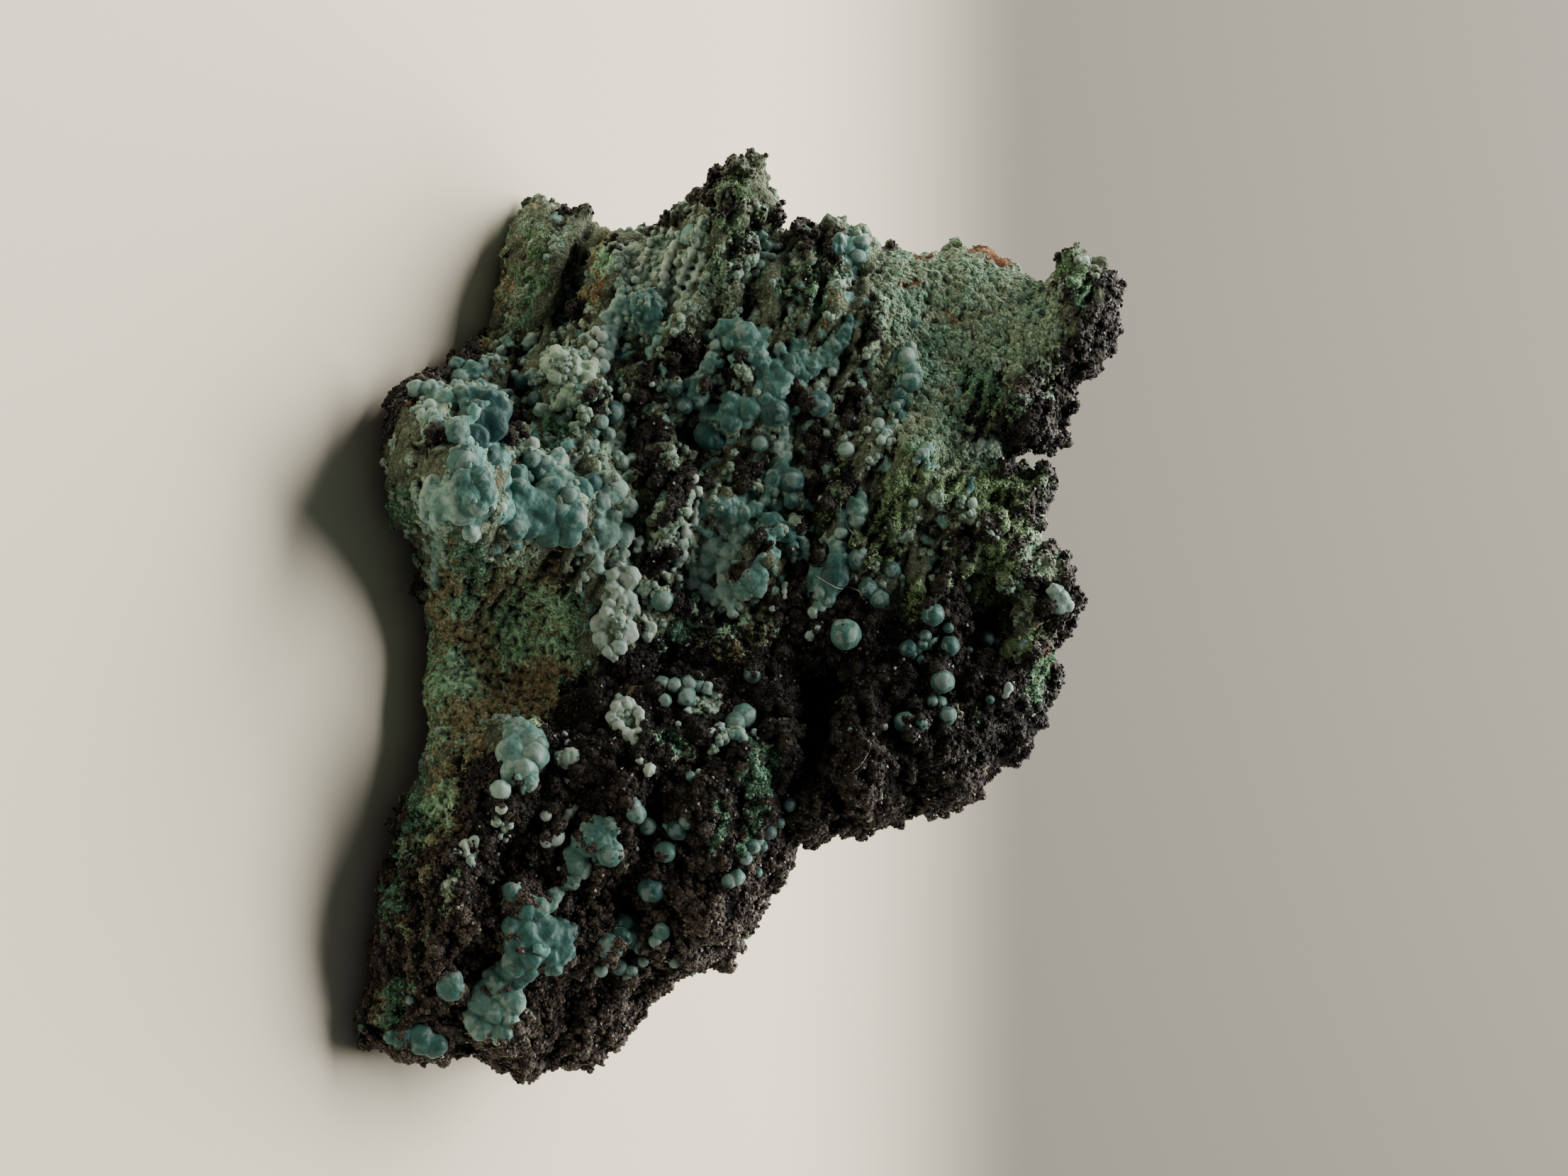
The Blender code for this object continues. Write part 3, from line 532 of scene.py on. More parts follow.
height += plain * (RIPPLE_HEIGHT * ripple + SCALE_HEIGHT * fine
                   - PIT_DEPTH * soft_step(middling, 0.12, 0.3))
height *= np.clip(points[:, 2] / RELIEF_FADE, 0, 1)
points += normals_of(rock.data) * (height * MM)[:, None]
points[:, 1:] = np.clip(points[:, 1:], (FRONT_END, 0), (BACK_END, TOP_END))
move_points(rock.data, points)
# how far each point stands out: the rock's material puts painted shade where it is low, and knobs and
# beads stand where it is high
ridge = np.clip(0.5 + 1.6 * standing_out(rock.data, 14), 0, 1)
store(rock.data, "ore", np.column_stack((black, malachite, altered, gossan)))
store(rock.data, "film", np.column_stack((pale, teal, limonite, ridge)))
store(rock.data, "behind", 1 - open_face)
turned_away = facing_out(rock.data) < 0
group = rock.vertex_groups.new(name="back")
group.add([int(i) for i in np.flatnonzero(turned_away)], 1.0, "REPLACE")
thin_back = rock.modifiers.new("thin_back", "DECIMATE")
thin_back.vertex_group, thin_back.vertex_group_factor = group.name, 10.0
thin_back.ratio = 1 - (1 - BACK_KEPT) * float(turned_away.mean())
rock = finished(rock)
thin_all = rock.modifiers.new("thin_all", "DECIMATE")
thin_all.ratio = min(1.0, ROCK_TRIANGLES / sum(len(face.vertices) - 2 for face in rock.data.polygons))
rock = finished(rock)
rock.vertex_groups.clear()
rock.data.shade_smooth()


def crisp(tree, weight, fuzz, least):
    """Turns a soft weight into a patch with a gritty edge, where there is this much of it."""
    ragged = add_node(tree, "ShaderNodeMath", {0: weight, 1: fuzz}, operation="ADD")
    return add_node(tree, "ShaderNodeMapRange", {
        "Value": ragged, "From Min": least - 0.12, "From Max": least + 0.12},
        interpolation_type="SMOOTHSTEP")


def two_tones(tree, share, first, second):
    """A mix of two colours, each an sRGB hex value or a socket."""
    return add_node(tree, "ShaderNodeMix", {
        "Factor": share, 6: linear(first) if isinstance(first, str) else first,
        7: linear(second) if isinstance(second, str) else second}, data_type="RGBA").outputs[2]


def noise_at(tree, coordinates, size_mm, low=0.35, high=0.65, detail=3.0):
    """Noise with grains of a real size, stretched to run from 0 to 1."""
    grains = add_node(tree, "ShaderNodeTexNoise", {
        "Vector": coordinates, "Scale": 1 / (size_mm * MM), "Detail": detail})
    return add_node(tree, "ShaderNodeMapRange", {"Value": grains, "From Min": low, "From Max": high})


def dust_lies(tree, place):
    """How thick the brown dust on the plattnerite is: most of it lies towards the low right."""
    across = add_node(tree, "ShaderNodeSeparateXYZ", {0: place})
    return add_node(tree, "ShaderNodeMapRange", {
        "Value": across, "From Min": 12 * MM, "From Max": 34 * MM})


def lime_share(tree, place):
    """Malachite is olive in the upper middle and far left of the face, emerald elsewhere."""
    reach = add_node(tree, "ShaderNodeVectorMath", {0: place, 1: in_space(-6, 60, -2)},
                     operation="DISTANCE").outputs["Value"]
    middle = add_node(tree, "ShaderNodeMapRange", {
        "Value": reach, "From Min": 15 * MM, "From Max": 21 * MM, "To Min": 1.0, "To Max": 0.12})
    across = add_node(tree, "ShaderNodeSeparateXYZ", {0: place})
    far_left = add_node(tree, "ShaderNodeMapRange", {
        "Value": across, "From Min": -33 * MM, "From Max": -38 * MM, "To Max": 0.8})
    return add_node(tree, "ShaderNodeMath", {0: middle, 1: far_left}, operation="MAXIMUM")


def rock_skin():
    """Mixed ore, broken and weathered: each mineral has its own colour, grain and shine, and painted
    shade darkens it in the hollows.
    """
    made, tree, place = new_material("weathered_mixed_ore")
    ore = add_node(tree, "ShaderNodeAttribute", attribute_name="ore")
    ores = add_node(tree, "ShaderNodeSeparateColor", {0: ore}).outputs
    film = add_node(tree, "ShaderNodeAttribute", attribute_name="film")
    films = add_node(tree, "ShaderNodeSeparateColor", {0: film}).outputs
    behind = add_node(tree, "ShaderNodeAttribute", attribute_name="behind").outputs["Fac"]
    # ridge and knob measure how far the skin stands out; where it is low, painted shade darkens each
    # mineral below
    ridge = add_node(tree, "ShaderNodeMapRange", {
        "Value": film.outputs["Alpha"], "From Min": 0.1, "From Max": 0.55})
    knob = add_node(tree, "ShaderNodeMapRange", {
        "Value": film.outputs["Alpha"], "From Min": 0.45, "From Max": 1.05})
    grit = noise_at(tree, place, 0.30, 0.32, 0.68)
    grain = noise_at(tree, place, 0.75, 0.38, 0.62)
    cloud = noise_at(tree, place, 2.6, 0.38, 0.62, 4.0)
    wide = noise_at(tree, place, 9.0, 0.40, 0.60, 2.0)
    pits = noise_at(tree, place, 0.42, 0.30, 0.40)
    fuzz = add_node(tree, "ShaderNodeMath", {0: grit, 1: 0.5}, operation="SUBTRACT")
    fuzz = add_node(tree, "ShaderNodeMath", {0: fuzz, 1: 0.35}, operation="MULTIPLY")

    # bark: dark olive iron oxide, greenish where it stands out, with pale specks; painted shade darkens
    # its hollows to near black
    bark = two_tones(tree, ridge, "#1b1d17", two_tones(tree, grit, "#444c3e", "#727c66"))
    bark = two_tones(tree, noise_at(tree, place, 0.5, 0.60, 0.66), bark, "#8c967a")
    # plattnerite: painted shade makes the hollows black; what stands out is dark, with a brown dust
    dusty = two_tones(tree, dust_lies(tree, place), "#3d372e", "#82776a")
    black = two_tones(tree, knob, "#060505", two_tones(tree, grit, "#171410", dusty))
    # malachite: olive, lime and emerald crusts, with painted shade darkening the hollows between them
    lime = two_tones(tree, grain, "#3c5134", "#84a077")
    emerald = two_tones(tree, grain, "#2a4c3d", "#6a9d83")
    green = two_tones(tree, lime_share(tree, place), emerald, lime)
    green = two_tones(tree, ridge, "#1a2615", green)
    # altered rock: mint with a buff cast, in fine scales with dark pits between them; painted shade
    # darkens its hollows
    mint = two_tones(tree, cloud, "#93c4ab", "#adb79d")
    mint = two_tones(tree, grain, two_tones(tree, wide, "#668f7c", "#8f9981"), mint)
    mint = two_tones(tree, pits, "#3c4434", mint)
    mint = two_tones(tree, ridge, "#39442f", mint)
    # gossan: brown iron oxide grains, with mint-green ones between
    minty = add_node(tree, "ShaderNodeMath", {
        0: noise_at(tree, place, 0.42, 0.40, 0.75, 4.0), 1: wide}, operation="ADD")
    minty = add_node(tree, "ShaderNodeMapRange", {"Value": minty, "From Min": 0.85, "From Max": 1.1})
    brown = two_tones(tree, grit, "#5a4f37", two_tones(tree, cloud, "#968a67", "#bcb28e"))
    brown = two_tones(tree, minty, brown, two_tones(tree, grain, "#74a980", "#acd8b4"))
    # where it was broken off, at the back, it is darker and mixed with grey-green
    brown = two_tones(tree, behind, brown, two_tones(
        tree, grit, "#3a2f21", two_tones(tree, cloud, "#6a563b", "#7d8264")))
    # painted shade: the gossan is darkened in its hollows
    brown = two_tones(tree, ridge, "#241e12", brown)
    # limonite: bright rust
    rust = two_tones(tree, grain, "#46301f", "#86593a")
    # thin films of rosasite, pale and teal, darkened in the hollows by painted shade
    milk = two_tones(tree, grain, "#75907f", two_tones(tree, cloud, "#adbba4", "#a7bdb0"))
    milk = two_tones(tree, ridge, "#4d675d", milk)
    sea = two_tones(tree, grain, two_tones(tree, cloud, "#3f6f6b", "#5b8a84"), "#7ba39a")
    sea = two_tones(tree, ridge, "#224645", sea)

    # each is laid over the ones before it, where there is at least so much of it
    colour = bark
    for weight, least, laid in (
            (ores[0], 0.50, black), (ores[1], 0.48, green), (ores[2], 0.48, mint),
            (ore.outputs["Alpha"], 0.48, brown), (films[2], 0.55, rust),
            (films[0], 0.44, milk), (films[1], 0.44, sea)):
        colour = two_tones(tree, crisp(tree, weight, fuzz, least), colour, laid)
    relief = add_node(tree, "ShaderNodeMath", {0: grit, 1: grain}, operation="ADD")
    relief = add_node(tree, "ShaderNodeMath", {0: relief, 1: pits}, operation="ADD")
    # films are smoother than what they cover
    filmed = add_node(tree, "ShaderNodeMath", {0: films[0], 1: films[1]}, operation="MAXIMUM")
    strength = add_node(tree, "ShaderNodeMapRange", {
        "Value": filmed, "From Min": 0.3, "From Max": 0.6, "To Min": 0.9, "To Max": 0.25})
    return shaded(made, {
        "Base Color": colour, "Specular IOR Level": 0.25,
        "Roughness": add_node(tree, "ShaderNodeMapRange", {
            "Value": ores[0], "To Min": 0.85, "To Max": 0.6}),
        "Normal": add_node(tree, "ShaderNodeBump", {
            "Height": relief, "Strength": strength, "Distance": 0.14 * MM})})


coat(rock, rock_skin())
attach(rock, "root")
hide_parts("specimen")


# ------------------------------------------------------------------------------------
# Rosasite: a copper zinc carbonate that grows as velvety blue-green balls, and as sheets
# of fused balls. Each ball sits on the rock where the eye finds it, level with what is
# round it. They are paler on top, where a dust of white has settled on the fibres, and
# painted shade darkens the rims that turn away.
RING_SIZE, RING_STEPS = 1.3, 8    # the ring round a ball, in radii, where the rock is felt for
BALL_RISE = 0.3                   # how far a ball's middle is above that, in radii
BALL_THICKNESS, BALL_LUMPINESS = 0.85, 0.11
BALL_DETAILS = ((1.4, 4), (0.8, 3), (0.0, 2))   # subdivisions from each radius up


def touchable(piece):
    """A piece's skin, for rays to be cast at."""
    return BVHTree.FromPolygons([tuple(p) for p in points_of(piece.data)],
                                [tuple(face.vertices) for face in piece.data.polygons])


surface = touchable(rock)


def out_at(across_here, up_here):
    """How far out the rock is here, or None beside it."""
    heading = (in_space(across_here, up_here, 0) - eye).normalized()
    hit = surface.ray_cast(eye, heading)[0]
    if hit is None:
        return None
    return float(on_face(np.array([hit]))[2][0])


def level_round(across_here, up_here, radius):
    """How far out the rock is round a ball, whatever stands under the ball itself."""
    turns = [step * math.tau / RING_STEPS for step in range(RING_STEPS)]
    ring = [out_at(across_here + RING_SIZE * radius * math.cos(turn),
                   up_here + RING_SIZE * radius * math.sin(turn)) for turn in turns]
    found = sorted(w for w in ring + [out_at(across_here, up_here)] if w is not None)
    return found[len(found) // 2] if found else 0.0


def balls_mesh(name, balls, lumpiness):
    """One mesh of lumpy balls: (centre, radius, tone, detail, thickness share) for each."""
    corners, faces, tones, start = [], [], [], 0
    outwards = np.array(OUTWARDS)
    for centre, radius, tone, detail, thickness in balls:
        unit, unit_faces = UNIT_BALLS[detail]
        spot = Vector(centre) / MM
        swell = np.array([1 + lumpiness * (noise.noise(Vector(c) * 1.6 + spot)
                                           - noise.voronoi(Vector(c) * 1.3 + spot)[0][0])
                          for c in unit])
        shape = unit * swell[:, None]
        shape = shape - np.outer(shape @ outwards, outwards) * (1 - thickness)
        corners.append(np.array(centre) + shape * radius * MM)
        faces.append(unit_faces + start)
        tones.append(np.full(len(unit), tone))
        start += len(unit)
    mesh = mesh_from(name, np.vstack(corners), np.vstack(faces))
    mesh.shade_smooth()
    store(mesh, "tone", np.concatenate(tones))
    return mesh


# Balls that stand alone or in bunches (across, up, radius), by tone from deep to white
BALLS = {
    0.20: [(11.3, 60.1, .8), (3.4, 58.7, 1), (6.1, 42.2, 1.1), (-21.6, 44.8, 1.4), (-14.4, 46.3, 1.5),
        (-22.4, 35, 1.1), (-14.1, 25.1, 1.2), (-21.6, 27.4, 1.35), (-24.8, 17.9, 1), (-22.6, 16.9, .8),
        (22.6, 34.2, 1.2), (33.5, 23.1, .7), (-17, 14.6, 1.1), (-22.9, 19.2, 1), (4.6, 60, .5)],
    0.30: [(-22.5, 49.2, 1.5), (1.2, 62.9, .65), (2.1, 60.5, .75), (3, 60.2, .7), (3.6, 59.6, .6),
        (9.1, 62.1, .75), (9, 61.2, .7), (2.4, 67, .9), (3.6, 65.1, .5), (8.8, 67.3, .55),
        (-1.9, 55.6, 1.1), (-2.9, 54.4, 1.15), (-4.9, 56.9, 1), (-6, 53.3, 1.2), (-24.2, 34, .95),
        (-11.1, 39.4, .95), (-12.2, 46.3, .9), (19.9, 46.1, .8), (22.8, 43.9, .95), (21.9, 45, .7),
        (28.9, 31.4, 1.5), (34.9, 30.4, 1), (34.2, 29.2, 1.1), (32.6, 28.6, 1.2), (-23.6, 57.8, 1),
        (-22.6, 57.6, .8), (-26.6, 10.9, 1), (12, 52.5, .3), (11.2, 58.3, 1.2)],
    0.16: [(-22, 13, 1)],
    0.46: [(-14.6, 11.2, .8), (13.6, 19.6, 1.1), (-16.1, 11.6, 1.9), (-19.6, 10.9, 1.5),
        (-12.8, 22.8, 1.1), (-11.4, 21.8, 1.2), (-16.3, 21.2, 1), (-15, 19.9, 1)],
    0.34: [(-.2, 61.3, 1.3), (3.1, 63.1, 1.1), (6.9, 62.3, 1.35), (10.5, 62.9, 1.05), (-22, 45, 1)],
    0.54: [(3.1, 70.9, .73), (1.85, 52, 1.8), (10.5, 41.2, 1.4), (11.2, 40.4, 1.2), (8.5, 35.2, 1.1),
        (7.1, 35.4, .95), (7.3, 33.9, .9), (8.9, 32.9, .8), (7.1, 32.6, .9), (7.3, 36.4, .85),
        (-1.75, 32.6, 1.3), (24.9, 32.9, 1.2), (22.2, 31.1, 1), (20.9, 29.9, 1.1), (20.1, 29.6, .9),
        (21.8, 35.1, .85), (33.4, 32.5, 1), (34.4, 31.9, .8), (36.5, 30.6, .7), (37.5, 29.3, .8),
        (37.1, 28.1, 1), (38.2, 28.9, .6), (35, 26.9, 1.6), (37.5, 26.1, .8), (24.4, 42.2, .9),
        (23.7, 42.8, .7), (25.6, 41.4, .8), (27.6, 40.5, 1), (28, 39.7, .9), (24.4, 43.3, .6),
        (27.1, 42.7, .6), (-28.9, 39.6, .8), (-18.3, 42.9, 1), (-16.5, 18.9, 1.1), (-15.3, 19.8, .8),
        (-14.6, 18.6, .6), (40.6, 5.9, .6), (-24.9, 58.9, 1.3), (-28.6, 38.3, .8), (-39.4, 53.7, 1),
        (-38, 53.3, 1), (16.9, 35.6, .6), (25.4, 27.2, 1.2)],
    0.62: [(13.1, 18.4, 2), (16.3, 17.9, 1.8), (14.8, 19, 1.7), (-1.6, 74.6, 1.5)],
    0.80: [(6.1, 62.9, .3), (-3, 64.9, .6), (-8.8, 51.5, .85), (-6, 46.6, .5), (-25.9, 50.6, .6),
        (-24.4, 49.3, .6), (-17.6, 52.1, 1), (-20.6, 26.2, .85), (-20.3, 55.5, .8), (18.4, 15.5, 1.2),
        (36.6, 33.9, .7), (-25.6, 17, .6), (-12, 59.2, .6), (-27.5, 58.5, 1.1), (28.3, 23.2, .8)],
    1.00: [(20.3, 15.6, .75), (21.8, 15, .6), (22.2, 16.5, .45), (23.6, 16, .4), (21.1, 20.3, .7),
        (23.3, 21.2, 1.2), (23.8, 20.4, .8), (24.6, 29.9, .3), (26.2, 18.8, .3), (25.2, 15.2, .25),
        (28, 14.5, .45), (28.4, 10.1, .7), (-18.2, 18.9, .85), (-11.5, 15.6, .7), (-23.2, 28.9, .55),
        (-22.3, 33.1, .4), (-21.1, 30.6, .3), (11.4, 34.3, .4), (26.7, 21.7, .3), (-24.6, 31.5, .4),
        (-16.5, 15.8, .25), (3, 35.3, .3), (-.8, 44.3, .4), (16.5, 36.5, .45), (11.7, 56.1, .5),
        (-33.2, 27.7, .6), (-32.2, 27.3, .7), (-30.9, 26.7, .7), (-29.6, 26.2, .75), (-28.8, 25.3, .6),
        (-27.9, 26.1, .7), (-30.2, 25.6, .6), (-31.7, 26.4, .55), (-26.9, 25.4, .6), (-28.2, 24.4, .5),
        (-29, 27.2, .6), (-30.6, 27.8, .6)],
}
ball_list = []
for tone, listed in BALLS.items():
    for a, u, radius in listed:
        middle = in_space(a, u, level_round(a, u, radius) + BALL_RISE * radius)
        detail = next(detail for least, detail in BALL_DETAILS if radius >= least)
        ball_list.append((middle, radius, tone, detail, BALL_THICKNESS))


def velvet():
    """Rosasite fibres ending at a smooth skin: teal, with a grey dust on what stands out, and painted
    shade in the valleys and on the rims that turn away.
    """
    made, tree, place = new_material("velvety_rosasite")
    tone = add_node(tree, "ShaderNodeAttribute", attribute_name="tone").outputs["Fac"]
    crown = add_node(tree, "ShaderNodeAttribute", attribute_name="crown").outputs["Fac"]
    mottle = noise_at(tree, place, 1.3, 0.34, 0.66, 4.0)
    blotch = noise_at(tree, place, 0.35, 0.3, 0.7)
    stops = [(0.0, "#0c3a3a"), (0.25, "#1d4d4b"), (0.5, "#3c6b64"), (0.72, "#628a80"),
             (0.88, "#85aaa2"), (1.04, "#aebcae"), (1.3, "#88ae80")]
    palest = stops[-1][0]
    level = add_node(tree, "ShaderNodeMath", {0: mottle, 1: blotch}, operation="ADD")
    level = add_node(tree, "ShaderNodeMapRange", {
        "Value": level, "From Max": 2.0, "To Min": -0.16, "To Max": 0.16})
    level = add_node(tree, "ShaderNodeMath", {0: level, 1: tone}, operation="ADD")
    level = add_node(tree, "ShaderNodeMath", {0: level, 1: palest}, operation="DIVIDE")
    ramp = add_node(tree, "ShaderNodeValToRGB", {0: level})
    for spot, _ in stops[1:-1]:
        ramp.color_ramp.elements.new(spot / palest)
    for element, (spot, shade) in zip(ramp.color_ramp.elements, stops):
        element.position, element.color = spot / palest, linear(shade)
    # a grey dust in flat patches with sharp edges, on what faces outwards
    cells = add_node(tree, "ShaderNodeTexVoronoi", {"Vector": place, "Scale": 1 / (1.1 * MM)})
    patch = add_node(tree, "ShaderNodeSeparateColor", {0: cells.outputs["Color"]})
    dust = add_node(tree, "ShaderNodeMath", {0: patch, 1: mottle}, operation="ADD")
    dust = add_node(tree, "ShaderNodeMath", {0: dust, 1: 0.5, 2: crown}, operation="MULTIPLY_ADD")
    dust = add_node(tree, "ShaderNodeMath", {0: tone, 1: 0.6, 2: dust}, operation="MULTIPLY_ADD")
    dust = add_node(tree, "ShaderNodeMapRange", {
        "Value": dust, "From Min": 1.57, "From Max": 1.71, "To Max": 0.6})
    colour = two_tones(tree, dust, ramp.outputs[0], two_tones(tree, tone, "#6a8684", "#a9b9ae"))
    # painted shade: darker in the crust's valleys and on the rims of the balls that turn away from the
    # face
    painted_rim_and_valley_shade = add_node(tree, "ShaderNodeMapRange", {
        "Value": crown, "From Min": 0.05, "From Max": 0.5, "To Min": 0.75, "To Max": 0.0})
    colour = two_tones(tree, painted_rim_and_valley_shade, colour, two_tones(tree, tone, "#0f2f2f", "#456b62"))
    return shaded(made, {
        "Base Color": colour, "Roughness": 0.5, "Specular IOR Level": 0.35,
        "Sheen Weight": 0.15, "Sheen Roughness": 0.5,
        "Normal": add_node(tree, "ShaderNodeBump", {
            "Height": blotch, "Strength": 0.35, "Distance": 0.08 * MM})})


rosasite_velvet = velvet()
balls = new_piece("rosasite_balls", balls_mesh("rosasite_balls", ball_list, BALL_LUMPINESS))
# crown: how squarely each point faces out; it sets the dust, and where it is low the rims get painted
# shade
store(balls.data, "crown", np.clip(1.2 * facing_out(balls.data) - 0.1, 0, 1))
coat(balls, rosasite_velvet)
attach(balls, "root")


# ------------------------------------------------------------------------------------
# Rosasite crust: sheets and drapes of lobes grown into each other, over the ridges of
# the rock. The lobes are fused to one skin, softened, and given a grape-like surface.
CRUST_GRAIN = 0.22 * MM
LOBE_LUMPINESS = 0.10
LOBE_SPREAD = 1.15                # how much wider a lobe is made, so that it meets the next
LOBE_RISE = 0.1
SHEET_REACH, SHEET_STEP = 2.4, 1.8   # lobes this near, and this level, lie in one sheet
GRAPE_SIZE, FINE_GRAPE_SIZE = 1.6, 0.55   # millimetres, as the heights are
GRAPE_HEIGHT, FINE_GRAPE_HEIGHT, GRAPES_SUNK = 0.20, 0.05, 0.15
CREASE_WIDTH = 0.3 * MM
